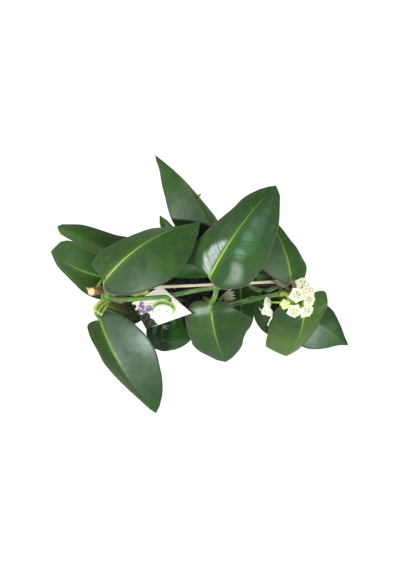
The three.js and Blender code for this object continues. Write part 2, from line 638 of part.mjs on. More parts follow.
const leafGreen = { color: 0x2f5a2b, roughness: 0.38, metalness: 0 };
const stemGreen = { color: 0x5f7d3c, roughness: 0.6, metalness: 0 };
const stalkGreen = { color: 0xa9b84a, roughness: 0.55, metalness: 0 };
const petalCream = { color: 0xece8c4, roughness: 0.6, metalness: 0 };
const budGreen = { color: 0xd3dc9a, roughness: 0.6, metalness: 0 };
const witheredWhite = { color: 0xe6e2d6, roughness: 0.7, metalness: 0 };
const driedBeige = { color: 0xb9ab93, roughness: 0.85, metalness: 0 };
const caneWood = { color: 0xb98d62, roughness: 0.7, metalness: 0 };
const rungWood = { color: 0xd9b48a, roughness: 0.7, metalness: 0 };
const potBlack = { color: 0x1c1d1e, roughness: 0.55, metalness: 0 };
const soilDark = { color: 0x1f1712, roughness: 0.95, metalness: 0 };
const cardCream = { color: 0xefe2d8, roughness: 0.45, metalness: 0 };

const rungs = rung.heights.map(rungEnds);
const drills = rungs.map(([from, to]) => bar(from, to, rung.diameter + 2 * gap, rung.sides));
const socket = 2 * gap + 0.4;
const holes = [
  ...Object.values(canes).map((one) => bar(
    canePoint(one, one.foot[2] - 2).toArray(), canePoint(one, soil.top + 20).toArray(),
    cane.diameter + 2 * cane.swell + socket, cane.sides,
  )),
  ...Object.values(vines).map(({ hole: [x, y] }) => bar(
    [x, y, soil.top - vine.depth - 1], [x, y, soil.top + 12], vine.diameter + 2 * socket, 10,
  )),
  makeStake(label.stakeWidth + 1.8, label.thickness + 1.2, -0.6, 1),
];

addPiece("pot", makePot(), potBlack);
addPiece("soil", makeSoil(holes), soilDark);
addPiece("cane_left", makeCane(canes.left, drills), caneWood);
addPiece("cane_right", makeCane(canes.right, drills), caneWood);
for (const [i, [from, to]] of rungs.entries()) {
  addPiece(`rung_${i + 1}`, bar(from, to, rung.diameter, rung.sides), rungWood);
}
for (const [name, one] of Object.entries(vines)) addPiece(name, makeVine(one), stemGreen);
for (const [name, one] of Object.entries(leaves)) addPiece(name, makeLeaf(one), leafGreen);
addPiece("care_card", makeLabel(), cardCream);
addPiece("umbel_stalk", makeUmbelStalk(), stalkGreen);
for (const [name, one] of Object.entries(florets)) addPiece(name, makeFloret(one), petalCream);
addPiece("flower_bud", makeBud(), budGreen);
addPiece("withered_floret", makeWithered(), witheredWhite);
addPiece("dried_flower", makeDried(), driedBeige);

export default plant;
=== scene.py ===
# A potted hoya on a small trellis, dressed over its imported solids. Shapes are built in millimetres.
import math
import random
import bmesh
import bpy
from mathutils import Matrix, Vector, noise


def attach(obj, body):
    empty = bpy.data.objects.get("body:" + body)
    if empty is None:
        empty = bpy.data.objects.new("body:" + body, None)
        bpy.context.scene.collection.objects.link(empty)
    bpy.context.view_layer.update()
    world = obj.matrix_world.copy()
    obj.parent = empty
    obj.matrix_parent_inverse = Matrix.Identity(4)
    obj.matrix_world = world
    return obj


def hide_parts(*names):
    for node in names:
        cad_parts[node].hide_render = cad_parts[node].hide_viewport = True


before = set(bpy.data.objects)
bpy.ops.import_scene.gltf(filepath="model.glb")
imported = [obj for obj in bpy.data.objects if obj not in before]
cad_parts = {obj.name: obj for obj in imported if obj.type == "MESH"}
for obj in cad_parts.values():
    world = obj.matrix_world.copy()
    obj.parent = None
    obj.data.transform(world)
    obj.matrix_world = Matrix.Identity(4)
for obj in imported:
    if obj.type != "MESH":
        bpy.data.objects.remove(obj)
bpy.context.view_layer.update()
scene = bpy.context.scene
noise.seed_set(1)  # without a seed, noise_vector differs from run to run
print("frame loaded:", len(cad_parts), "nodes")


def addObject(name, data):
    made = bpy.data.objects.new(name, data)
    scene.collection.objects.link(made)
    return made


# camera and light

studio = {
    "eye": (0.003, -0.004, 1.5),
    "lens": 84.2,
    "sky": (0.94, 0.98, 1.0),
    "skyStrength": 0.28,
    "aim": (0, 0, 0.24),
    "softboxes": [
        {"toward": (0, -0.60, 0.80), "far": 1.6, "size": (0.42, 0.62), "power": 8.5, "tint": (0.88, 1.0, 0.97)},
        {"toward": (-0.86, 0.12, 0.50), "far": 1.5, "size": (1.1, 1.1), "power": 25, "tint": (0.90, 1.0, 0.97)},
        {"toward": (0.72, -0.15, 0.68), "far": 1.6, "size": (0.5, 0.5), "power": 10, "tint": (0.88, 1.0, 0.97)},
    ],
}


def setStudio():
    lens = bpy.data.cameras.new("topView")
    lens.sensor_fit = "VERTICAL"
    lens.sensor_height = 36
    lens.lens = studio["lens"]
    lens.clip_start = 0.02
    scene.camera = addObject("topView", lens)
    scene.camera.location = studio["eye"]
    aim = Vector(studio["aim"])
    for number, box in enumerate(studio["softboxes"]):
        lamp = bpy.data.lights.new(f"softbox{number}", "AREA")
        lamp.shape = "RECTANGLE"
        lamp.size, lamp.size_y = box["size"]
        lamp.energy = box["power"]
        lamp.color = box["tint"]
        holder = addObject(f"softbox{number}", lamp)
        toward = Vector(box["toward"]).normalized()
        holder.location = aim + toward * box["far"]
        holder.rotation_euler = toward.to_track_quat("Z", "Y").to_euler()
    world = bpy.data.worlds.new("paleRoom")
    world.use_nodes = True
    sky = world.node_tree.nodes["Background"]
    sky.inputs["Color"].default_value = (*studio["sky"], 1)
    sky.inputs["Strength"].default_value = studio["skyStrength"]
    scene.world = world
    scene.view_settings.view_transform = "Standard"
    scene.view_settings.look = "None"


# finishes

class Wire:
    # a socket of a material's node tree that sums can be written on

    def __init__(self, tree, socket=None, material=None):
        self.tree = tree
        self.socket = socket
        self.material = material

    def node(self, kind, settings=None, inputs=None, output=0):
        made = self.tree.nodes.new("ShaderNode" + kind)
        for key, value in (settings or {}).items():
            setattr(made, key, value)
        for key, value in (inputs or {}).items():
            if isinstance(value, Wire):
                self.tree.links.new(value.socket, made.inputs[key])
            else:
                made.inputs[key].default_value = value
        return Wire(self.tree, made.outputs[output] if made.outputs else None)

    def math(self, operation, *values):
        return self.node("Math", {"operation": operation}, dict(enumerate(values)))

    def __add__(self, other):
        return self.math("ADD", self, other)

    def __radd__(self, other):
        return self.math("ADD", other, self)

    def __sub__(self, other):
        return self.math("SUBTRACT", self, other)

    def __rsub__(self, other):
        return self.math("SUBTRACT", other, self)

    def __mul__(self, other):
        return self.math("MULTIPLY", self, other)

    def __rmul__(self, other):
        return self.math("MULTIPLY", other, self)

    def __abs__(self):
        return self.math("ABSOLUTE", self)

    def rise(self, low, high):
        # 0 below low and 1 above high, with a soft change between them
        limits = {"Value": self, "From Min": low, "From Max": high}
        return self.node("MapRange", {"interpolation_type": "SMOOTHSTEP"}, limits)

    def fall(self, low, high):
        return 1 - self.rise(low, high)

    def mix(self, first, second, share):
        return self.node("Mix", {"data_type": "RGBA"}, {0: share, 6: first, 7: second}, 2)

    def coats(self, colour, *coats):
        # the colour under each coat in turn, a coat being its colour and the share it covers
        for tone, share in coats:
            colour = self.mix(colour, tone, share)
        return colour

    def place(self):
        return self.node("TexCoord", output=3)

    def stretched(self, scale):
        return self.node("Mapping", {}, {"Vector": self.place(), "Scale": scale})

    def cloud(self, scale, detail=3, where=None, rough=0.5):
        inputs = {"Vector": where or self.place(), "Scale": scale, "Detail": detail, "Roughness": rough}
        return self.node("TexNoise", {}, inputs)

    def cells(self, scale):
        return self.node("TexVoronoi", {}, {"Vector": self.place(), "Scale": scale})

    def stored(self, name):
        return self.node("Attribute", {"attribute_name": name}, output=2)

    def bump(self, height, distance, strength=1.0):
        return self.node("Bump", {}, {"Height": height, "Distance": distance, "Strength": strength})

    def finish(self, **inputs):
        named = {key.replace("_", " "): value for key, value in inputs.items()}
        surface = self.node("BsdfPrincipled", {}, named)
        self.node("OutputMaterial", {}, {"Surface": surface})
        return self.material


def startFinish(name):
    material = bpy.data.materials.new(name)
    material.use_nodes = True
    material.node_tree.nodes.clear()
    return Wire(material.node_tree, material=material)


def tint(red, green, blue):
    # a screen colour, 0 to 255, as the shader wants it
    def straighten(level):
        level /= 255
        return level / 12.92 if level <= 0.04045 else ((level + 0.055) / 1.055) ** 2.4
    return (straighten(red), straighten(green), straighten(blue), 1)


# shared ways of making a shape

def addShape(name, bm, *finishes):
    # the shape as an object, from millimetres to metres
    mesh = bpy.data.meshes.new(name)
    bm.to_mesh(mesh)
    bm.free()
    mesh.transform(Matrix.Scale(0.001, 4))
    for finish in finishes:
        mesh.materials.append(finish)
    return addObject(name, mesh)


def keepPiece(name, bm, finishes, slot, *nodes, sharpAngle=40):
    piece = addShape(name, bm, *finishes)
    piece.data.shade_smooth()
    piece.data.set_sharp_from_angle(angle=math.radians(sharpAngle))
    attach(piece, "root")
    if nodes:
        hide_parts(*nodes)
    return piece


def smoothRoute(points, step):
    # a bent stem's line through every point
    knots = [Vector(point) for point in points]
    knots = [knots[0] * 2 - knots[1], *knots, knots[-1] * 2 - knots[-2]]
    route = []
    for before, here, there, after in zip(knots, knots[1:], knots[2:], knots[3:]):
        first = max((here - before).length, 1e-4) ** 0.5
        middle = max((there - here).length, 1e-4) ** 0.5
        last = max((after - there).length, 1e-4) ** 0.5
        mean = (there - here) / middle
        leave = ((here - before) / first - (there - before) / (first + middle) + mean) * middle
        arrive = (mean - (after - here) / (middle + last) + (after - there) / last) * middle
        count = max(1, round((there - here).length / step))
        for i in range(count):
            t = i / count
            route.append(
                here * (2 * t**3 - 3 * t**2 + 1) + leave * (t**3 - 2 * t**2 + t)
                + there * (3 * t**2 - 2 * t**3) + arrive * (t**3 - t**2)
            )
    route.append(knots[-2])
    return route


def sweepTube(bm, route, radiusAt, sides=10):
    # a round tube along the route, closed at both ends. radiusAt takes a place and the share of the way there.
    last = len(route) - 1
    side = None
    places = []
    for i, spot in enumerate(route):
        along = (route[min(i + 1, last)] - route[max(i - 1, 0)]).normalized()
        if side is None:
            side = along.orthogonal()
        side = (side - along * side.dot(along)).normalized()
        other = along.cross(side)
        turn = Matrix((side, other, along)).transposed().to_4x4()
        radius = radiusAt(spot, i / last)
        places.append(Matrix.Translation(spot) @ turn @ Matrix.Diagonal((radius, radius, radius, 1)))
    ring = bmesh.ops.create_circle(bm, segments=sides, radius=1, cap_ends=False)["verts"]
    made = list(ring)
    edges = list({edge for vert in ring for edge in vert.link_edges})
    bmesh.ops.transform(bm, matrix=places[0], verts=ring)
    caps = [edges]
    for before, here in zip(places, places[1:]):
        grown = bmesh.ops.extrude_edge_only(bm, edges=edges)["geom"]
        ring = [item for item in grown if isinstance(item, bmesh.types.BMVert)]
        made += ring
        inside = set(ring)
        edges = [item for item in grown if isinstance(item, bmesh.types.BMEdge) and set(item.verts) <= inside]
        bmesh.ops.transform(bm, matrix=here @ before.inverted(), verts=ring)
    caps.append(edges)
    for edges in caps:
        bmesh.ops.edgeloop_fill(bm, edges=edges)
    bmesh.ops.recalc_face_normals(bm, faces=facesOf(made))
    return made


def addLayers(bm, *names):
    # numbers kept on each point, for its finish to read
    return {name: bm.verts.layers.float.new(name) for name in names}


def newSheet(bm, rows, columns, size=1):
    # a flat sheet's points, each with its share along, 0 to 1, and across, -1 to 1
    verts = bmesh.ops.create_grid(bm, x_segments=rows, y_segments=columns, size=size)["verts"]
    return [(vert, (vert.co.x + 1) / 2, vert.co.y) for vert in verts]


def facesOf(verts):
    return list({face for vert in verts for face in vert.link_faces})


def thicken(bm, faces, thickness, up=Vector((0, 0, 1))):
    # a wall under a sheet, once the sheet faces up
    if sum(face.normal.dot(up) * face.calc_area() for face in faces) < 0:
        bmesh.ops.reverse_faces(bm, faces=faces)
    bmesh.ops.solidify(bm, geom=faces, thickness=thickness)


def sharpEdges(bm):
    return [edge for edge in bm.edges if edge.is_manifold and edge.calc_face_angle() > 1.1]


def roundOff(bm, edges, radius):
    bmesh.ops.bevel(bm, geom=edges, offset=radius, segments=2, profile=0.5, affect="EDGES", material=-1)


def hill(distance, width):
    # 1 in the middle, fading over the width
    return math.exp(-((distance / width) ** 2))


def growth(name):
    # repeatable random draws for one piece
    return random.Random(name)


# the trellis and where the stems run

trellis = {
    "left": {"foot": (-28, 1, 40), "top": (-96, -10, 286), "turn": -1},
    "right": {"foot": (22, -4, 40), "top": (83, -0.5, 261), "turn": 1},
    "caneDiameter": 7.8,
    "rungDiameters": (3, 3, 2.6),
    "rungHeights": (146, 197, 248),
    "litRung": 2,
    "overhang": 6,
    "windingReach": 7.8,
    "windingStep": 13,
    "caneJoints": (0.17, 0.43, 0.68, 0.9),
    "jointSwell": 0.4,
    "jointReach": 2.4,
}


def caneEnds(side):
    return Vector(trellis[side]["foot"]), Vector(trellis[side]["top"])


def canePoint(side, height):
    foot, top = caneEnds(side)
    return foot.lerp(top, (height - foot.z) / (top.z - foot.z))


def besideCane(side, height):
    # where a stem that winds round the cane passes this height
    low, middle = trellis["rungHeights"][:2]
    angle = math.pi * (0.5 + trellis[side]["turn"] * (height - low) / (middle - low))
    reach = trellis["windingReach"]
    return canePoint(side, height) + Vector((reach * math.cos(angle), reach * math.sin(angle), 0))


def turnsRound(side, start, end):
    count = round((end - start) / trellis["windingStep"])
    return [besideCane(side, start + (end - start) * i / count) for i in range(count + 1)]


stemNodes = {
    "a": (-80.6, -15, 284),
    "b": (18.5, -6, 284),
    "c": (78, -12, 262),
    "d": besideCane("left", 224),
    "e": (25, 18, 250),
    "f": (-46, 12, 240),
    "g": (-34, -18, 200),
    "h": (24, -24, 205),
    "i": (-10, 24, 241),
    "k": (50, -18, 252),
    "l": besideCane("right", 222),
    "m": besideCane("left", 180),
    "n": besideCane("right", 122),
    "o": (2, 18, 184),
    "p": (14, -21, 150),
    "q": besideCane("left", 122),
    "r": (12, 18, 215),
    "t": besideCane("right", 150),
}


# leaves

# "node" is where on its stem a leaf sits. "left" and "right", or "halves" where both are alike, hold how far
# the lobe reaches back, how many degrees the half leans along the way, and its width at even steps to the tip.
leafForms = {
    "leaf_upper_left": {
        "node": "a", "bend": (-79.5, -6, 287), "base": (-81, 3, 293), "tip": (2.9, 53.7, 288),
        "bow": 17.2, "rise": 16,
        "left": (0.11, (-28, -92), (22.5, 27.5, 25.5, 23, 22.5, 24.5, 22.5, 13.5, 5)),
        "right": (0.21, (-8, -4), (2, 27, 36, 40, 40, 37.5, 32, 22, 4.5)),
    },
    "leaf_front_left": {
        "node": "a", "bend": (-92.5, -27, 281), "base": (-88, -37, 279), "tip": (-38.6, -125.6, 236),
        "bow": -10.6, "rise": 22,
        "left": (0.16, (-16, -4), (0, 23.5, 33, 36, 35.5, 31.5, 26, 17, 3)),
        "right": (0.06, (-16, -58, -62), (13.5, 16.5, 17.5, 21, 21.5, 19.5, 16, 11, 6)),
    },
    "leaf_upper_centre": {
        "node": "b", "bend": (17.5, -1.5, 292), "base": (12, 4, 301), "tip": (71.1, 86, 298),
        "bow": 7.8, "rise": 24,
        "left": (0.09, (-32, -46, -20), (22, 34.5, 33.5, 31, 26, 21, 18, 10.5, 0)),
        "right": (0.14, (-10, -8), (8.5, 32.5, 37, 38, 35, 31.5, 26, 17, 6.5)),
    },
    "leaf_front_centre": {
        "node": "b", "bend": (16.5, -14.5, 283), "base": (13, -22, 276), "tip": (28.1, -78.8, 205),
        "bow": -6.6, "rise": 44,
        "left": (0.08, (-14, -10), (9, 23.5, 32.5, 38.5, 32, 25.5, 21.5, 15, 6)),
        "right": (0.12, (-32, -22), (14, 26.5, 27.5, 27, 26.5, 26.5, 23, 14, 6)),
    },
    "leaf_right_back": {
        "node": "c", "bend": (91, -6, 264), "base": (87, 2, 273), "tip": (61.9, 65.5, 264),
        "bow": -7.6, "rise": 16,
        "left": (0.18, (-4, -10), (2.5, 15.5, 24, 25, 21.5, 16.5, 11.5, 6, 0)),
        "right": (0.15, (-34, -30), (13, 20.5, 17.5, 14.5, 10, 7.5, 5.5, 3, 0.5)),
    },
    "leaf_right_front": {
        "node": "c", "bend": (89, -12, 258), "base": (99, -18, 256), "tip": (87, -73.4, 201),
        "bow": 10.4, "rise": 38,
        "left": (0.17, (0, -34, -42), (21.5, 23, 17, 16, 15.5, 16.5, 15.5, 14.5, 13.5)),
        "right": (0.17, (-12, -6), (14.5, 22, 29, 31, 30.5, 28.5, 27, 25, 21)),
    },
    "leaf_far_right": {
        "node": "l", "bend": (83, -20, 219), "base": (97, -29, 217), "tip": (147.2, -62.8, 203),
        "bow": 1, "rise": 12,
        "left": (0.25, (-25, -15), (11, 16.5, 20.5, 21.5, 20, 16, 11, 5, 1)),
        "right": (0.24, (-20, -12), (13, 19.5, 25, 28, 26, 21, 14, 5.5, 0)),
    },
    "leaf_far_left_back": {
        "node": "f", "bend": (-53, 11, 250), "base": (-59, 10, 253), "tip": (-131.9, 51.3, 240),
        "bow": -5.5, "rise": 14,
        "left": (0.2, (-55, -45), (7, 9.5, 11, 11, 13, 12, 10, 9.5, 7)),
        "right": (0.19, (-14, -12), (13.5, 19.5, 23, 18.5, 16, 14, 11.5, 7, 2.5)),
    },
    "leaf_far_left": {
        "node": "d", "bend": (-95, -8, 228), "base": (-90, 4, 234), "tip": (-140.9, 28.2, 214),
        "bow": 6.8, "rise": 22,
        "left": (0.3, (-28, -50), (26.5, 26, 23, 19, 17, 15.5, 14, 12, 8)),
        "right": (0.25, (-12, -8), (12.5, 19, 24, 26.5, 26.5, 24.5, 21, 18, 11)),
    },
    "leaf_back": {
        "node": "e", "bend": (24, 27, 261), "base": (19, 33, 265), "tip": (-39.3, 118.9, 240),
        "bow": -14.7, "rise": 16,
        "left": (0.01, (-8, -4), (9.5, 21.5, 28, 29.5, 27, 22, 16, 8, 1.5)),
        "right": (0.18, (-58, -84), (13, 18, 20, 15, 14, 15, 15.5, 12, 7)),
    },
    "leaf_under_label": {
        "node": "g", "bend": (-32, -26, 203), "base": (-28, -31, 209), "tip": (-33.1, -69.6, 184),
        "bow": -7.1, "rise": 24,
        "left": (0.25, (-14, -8), (9.5, 15.5, 21.5, 26, 29, 29, 26, 20.5, 9)),
        "right": (0.25, (-14, -8), (9, 12, 14.5, 15.5, 16, 15, 14, 12, 7)),
    },
    "leaf_right_shade": {
        "node": "k", "bend": (53, -16, 234), "base": (61, -19, 212), "tip": (93, -58, 193),
        "bow": 0, "rise": 16,
        "left": (0.22, (-10, -8), (7.5, 12, 16.5, 18, 17.5, 15.5, 12, 6.5, 0)),
        "right": (0.22, (-20, -16), (7.5, 12, 16.5, 18, 17.5, 15, 11, 6, 0)),
    },
    "leaf_centre_shade": {
        "node": "h", "bend": (34, -17, 209), "base": (42, -10, 218), "tip": (43, -56, 192),
        "bow": 0, "rise": 24,
        "left": (0.22, (-14, -10), (5.5, 8.5, 11.5, 13, 12.5, 11, 8.5, 5, 0)),
        "right": (0.22, (-14, -10), (5, 8, 11, 12, 11.5, 10.5, 8, 4.5, 0)),
    },
    "leaf_middle": {
        "node": "e", "bend": (22, 11, 256), "base": (16, 13, 259), "tip": (-44, 20, 252),
        "bow": 0.6, "rise": 10,
        "left": (0.25, (-30, -20), (8.5, 11, 13.5, 14.5, 15, 15, 12, 7.5, 1)),
        "right": (0.1, (-14, -10), (7, 11.5, 15, 16, 15.5, 14, 11, 6.5, 0)),
    },
    "leaf_small_back": {
        "node": "i", "bend": (-13, 30, 246), "base": (-17, 34, 247), "tip": (-35, 62, 246),
        "bow": 2, "rise": 6,
        "halves": (0.22, (20, 10), (2.5, 4, 5.5, 6, 6, 5, 4, 2, 0)),
    },
    "leaf_left_shade": {
        "node": "d", "bend": (-89.5, -14, 229), "base": (-88.5, -22.5, 231), "tip": (-50, -36, 222),
        "bow": 0, "rise": 8,
        "left": (0.12, (-10, -8), (6, 9, 12, 14, 14, 13, 10.5, 6.5, 0)),
        "right": (0.12, (-10, -8), (9, 12, 13.5, 14, 13.5, 12.5, 10.5, 6.5, 0)),
    },
    "leaf_right_middle": {
        "node": "r", "bend": (23, 9, 219), "base": (32, 12, 228), "tip": (84, 15, 226),
        "bow": 0, "rise": 16,
        "left": (0.22, (-15, -10), (6.5, 10.5, 14.5, 16, 15.5, 14, 10.5, 6, 0)),
        "right": (0.22, (-30, -20), (4, 7, 11, 14.5, 15, 12.5, 8.5, 4.5, 0)),
    },
    "leaf_lower_left": {
        "node": "q", "bend": (-67, -6, 127), "base": (-74, 0, 138), "tip": (-118, 18, 126),
        "bow": 0, "rise": 26,
        "halves": (0.22, (-20, -14), (9, 14, 19, 20, 19, 17, 13, 7.5, 0)),
    },
    "leaf_lower_front_left": {
        "node": "m", "bend": (-56, -17, 183), "base": (-66, -27, 184), "tip": (-78, -88, 160),
        "bow": 0, "rise": 20,
        "left": (0.22, (-16, -12), (4.5, 6.5, 8.5, 9.5, 10.5, 11, 9.5, 6, 0)),
        "right": (0.22, (-16, -12), (8, 12.5, 16.5, 18, 17, 15, 12, 7, 0)),
    },
    "leaf_lower_right": {
        "node": "n", "bend": (57, -5, 130), "base": (60, -7, 138), "tip": (111, -40, 122),
        "bow": 0, "rise": 26,
        "left": (0.22, (-18, -12), (12, 23, 29, 31, 29, 24, 18, 10, 0)),
        "right": (0.22, (-18, -12), (9, 14, 19, 20, 19, 17, 13, 7.5, 0)),
    },
    "leaf_lower_back": {
        "node": "o", "bend": (4, 27, 187), "base": (4, 34, 190), "tip": (-14, 86, 162),
        "bow": 0, "rise": 22,
        "halves": (0.22, (-20, -14), (8, 12.5, 16.5, 17, 15, 12.5, 9, 5, 0)),
    },
    "leaf_lower_back_right": {
        "node": "t", "bend": (54, 14, 160), "base": (54, 20, 166), "tip": (66, 66, 144),
        "bow": 0, "rise": 20,
        "halves": (0.22, (-18, -12), (8, 12.5, 17, 18, 17.5, 15.5, 12, 6.5, 0)),
    },
    "leaf_lower_front": {
        "node": "p", "bend": (13, -29, 153), "base": (13, -35, 157), "tip": (21, -70, 134),
        "bow": 0, "rise": 22,
        "halves": (0.22, (-18, -12), (8, 12.5, 17, 18, 17.5, 15.5, 12, 6.5, 0)),
    },
}

# What differs from the plain leaf. A pair is for the left and the right half, seen from the petiole.
# "far" is the colour towards the tip, and "divide" how far to the left the right half's colour reaches.
# "wax" is how strongly a half shines, fading over "waxFade" up to "waxEnd" along it, and inside "waxBand"
# across it. "gloss" is how blurred that is. "gleams" are shining ovals; the sheen ovals are painted sheen, a
# pale highlight mixed into the colour. Each holds place along and across, reach along and across, slant,
# strength.
leafLooks = {
    "plain": {
        "left": tint(56, 90, 38), "right": tint(50, 84, 38), "far": None, "divide": 0, "wax": (0.3, 0.3),
        "waxEnd": (0.9, 0.9), "waxFade": (0.35, 0.35), "waxBand": ((-0.3, 1.5), (-0.3, 1.5)), "waxIndex": 1.62,
        "gloss": 0.34, "quilt": 0.4, "wave": 0.5, "swell": (1, 1), "rib": 0.5, "ribEnd": 0.8, "margin": 0.3,
        "rimLine": 1, "shadow": 0, "petiole": "green", "stalk": 1.65, "gleams": (), "paintedSheen": (),
    },
    "leaf_upper_left": {
        "left": tint(54, 82, 34), "right": tint(54, 82, 44), "wax": (0.06, 0.66), "waxEnd": (0.9, 0.6),
        "waxIndex": 1.75, "rib": 0.85, "ribEnd": 0.95, "margin": 0.5, "swell": (0.9, 0.9),
    },
    "leaf_front_left": {
        "left": tint(56, 88, 50), "right": tint(46, 66, 28), "wax": (1.0, 0.06), "waxEnd": (0.95, 0.9),
        "waxIndex": 2.0, "gloss": 0.36, "rib": 0.45, "ribEnd": 0.7, "margin": 0.5, "swell": (1.1, 1.1),
    },
    "leaf_upper_centre": {
        "left": tint(50, 76, 40), "right": tint(58, 88, 50), "wax": (0.78, 0.0), "waxEnd": (0.58, 1.1),
        "waxFade": (0.1, 0.9), "waxBand": ((0.08, 0.5), (0.3, 0.6)), "waxIndex": 2.0,
        "gleams": ((0.14, -0.6, 0.12, 0.24, -1.6, 0.36),),
        # painted sheen: four pale patches standing for gloss highlights
        "paintedSheen": (
            (0.31, -0.36, 0.05, 0.17, 0, 0.42), (0.46, -0.3, 0.06, 0.14, 0, 0.22),
            (0.62, -0.26, 0.06, 0.13, 0, 0.2), (0.60, -0.40, 0.4, 0.24, 0, 0.16),
        ),
        "gloss": 0.16, "swell": (1.2, 0.2), "quilt": 1.0, "wave": 0.7, "rib": 1.0, "ribEnd": 0.95, "margin": 0.9,
    },
    "leaf_front_centre": {
        "left": tint(54, 84, 40), "right": tint(58, 90, 42), "wax": (0.3, 0.75), "waxEnd": (0.4, 0.42),
        "waxIndex": 1.8, "gloss": 0.28, "rib": 0.6, "ribEnd": 0.95, "margin": 1.0, "stalk": 2.2, "quilt": 0.6,
    },
    "leaf_right_back": {
        "left": tint(84, 112, 78), "right": tint(60, 94, 40), "wax": (0.55, 0.2), "gloss": 0.5, "rib": 0.65,
        "ribEnd": 0.95, "rimLine": 2.2, "petiole": "brown",
    },
    "leaf_right_front": {
        "left": tint(78, 112, 44), "right": tint(60, 86, 48), "far": tint(102, 128, 62), "wax": (0.3, 0.4),
        "waxEnd": (0.6, 0.6), "rib": 0.6, "margin": 0.6,
    },
    "leaf_far_right": {
        "left": tint(48, 80, 44), "right": tint(66, 102, 60), "wax": (0.22, 1.0), "waxIndex": 1.9, "gloss": 0.4,
        "rib": 0.6, "ribEnd": 1.0, "margin": 0.3,
    },
    "leaf_far_left_back": {
        "left": tint(58, 82, 38), "right": tint(46, 72, 28), "wax": (0.08, 0.08), "gloss": 0.45, "rib": 0.22,
        "ribEnd": 0.6, "margin": 0.9,
    },
    "leaf_far_left": {
        "left": tint(52, 78, 33), "right": tint(56, 90, 44), "wax": (0.1, 0.15), "gloss": 0.45, "rib": 0.4,
        "margin": 0.2,
    },
    "leaf_back": {
        "left": tint(58, 82, 48), "right": tint(62, 92, 38), "wax": (0.95, 0.1), "waxEnd": (0.7, 0.6),
        "waxIndex": 1.75, "gloss": 0.5, "rib": 0.45, "ribEnd": 0.75, "shadow": 0.175,
    },
    "leaf_under_label": {
        "left": tint(44, 92, 26), "right": tint(12, 32, 14), "divide": 0.34, "wax": (0.3, 0.2), "gloss": 0.12,
        # painted sheen: two pale patches standing for highlights on this dark leaf
        "paintedSheen": ((0.3, -0.45, 0.2, 0.2, 0, 0.3), (0.16, 0.5, 0.06, 0.12, 0, 0.5)),
        "waxBand": ((-0.3, 1.5), (0.1, 0.6)), "quilt": 1.0, "wave": 0.7, "rib": 0.15,
    },
    "leaf_middle": {"left": tint(48, 102, 34), "right": tint(46, 96, 34), "rib": 0.2},
    "leaf_left_shade": {
        # its near-black "far" colour towards the tip is painted shade
        "left": tint(78, 76, 44), "right": tint(70, 68, 40), "far": tint(12, 18, 8), "rib": 0.2,
        "wax": (0.1, 0.1),
    },
    "leaf_small_back": {"left": tint(66, 92, 42), "right": tint(60, 84, 42), "quilt": 0.2, "wave": 0.2},
    "leaf_right_shade": {"left": tint(36, 62, 20), "right": tint(72, 100, 52), "rib": 0.3},
    "leaf_right_middle": {
        "left": tint(26, 46, 18), "right": tint(20, 38, 12), "rib": 0.1, "wax": (0, 0), "rimLine": 0.2,
    },
    "leaf_centre_shade": {"left": tint(46, 84, 26), "right": tint(42, 76, 26), "rib": 0.3},
    "leaf_lower_right": {"left": tint(24, 44, 14), "right": tint(34, 62, 16), "rib": 0.2, "wax": (0, 0)},
}
leafBuild = {
    "rows": 64, "columns": 36, "thickness": 1.0, "rounding": 0.28, "rounded": (0.02, 0.95), "veins": 7,
    "veinSlant": 1.4, "crown": 0.16, "quiltDepth": 0.11, "petioleDrop": 1.7, "petioleReach": 7, "ribSteps": 200,
    "opens": 0.06, "closes": 0.04,
}


def midribOf(form):
    base, tip = Vector(form["base"]), Vector(form["tip"])
    chord = tip - base
    leftward = Vector((-chord.y, chord.x, 0)).normalized()
    middle = base + chord * 0.5 + leftward * form["bow"] + Vector((0, 0, form["rise"]))
    count = leafBuild["ribSteps"]

    def bent(t):
        return base * (1 - t) ** 2 + middle * 2 * t * (1 - t) + tip * t**2

    spots = [bent(i / count) for i in range(count + 1)]
    reached = [0.0]
    for here, there in zip(spots, spots[1:]):
        reached.append(reached[-1] + (there - here).length)

    def follow(u):
        # the place at a share of the rib's length, and its heading there
        wanted = u * reached[-1]
        low = max(1, sum(1 for length in reached if length < wanted))
        low = min(low, count)
        t = (low - 1 + (wanted - reached[low - 1]) / (reached[low] - reached[low - 1])) / count
        return bent(t), ((middle - base) * (1 - t) + (tip - middle) * t).normalized()

    return follow, leftward, reached[-1]


def blendAlong(values, u):
    # the smooth curve through values that are evenly spaced from 0 to 1
    at = min(1, max(0, u)) * (len(values) - 1)
    low = min(int(at), len(values) - 2)
    t = at - low
    b, c = values[low], values[low + 1]
    a = values[low - 1] if low else 2 * b - c
    d = values[low + 2] if low + 2 < len(values) else 2 * c - b
    return b + 0.5 * ((c - a) * t + (2 * a - 5 * b + 4 * c - d) * t**2 + (3 * b - a - 3 * c + d) * t**3)


def opening(u):
    # how a blade opens from its base and closes at its tip
    opened = math.sin(math.pi / 2 * min(1, u / leafBuild["opens"])) ** 0.55
    return opened * min(1, max(0, 1 - u) / leafBuild["closes"]) ** 0.5


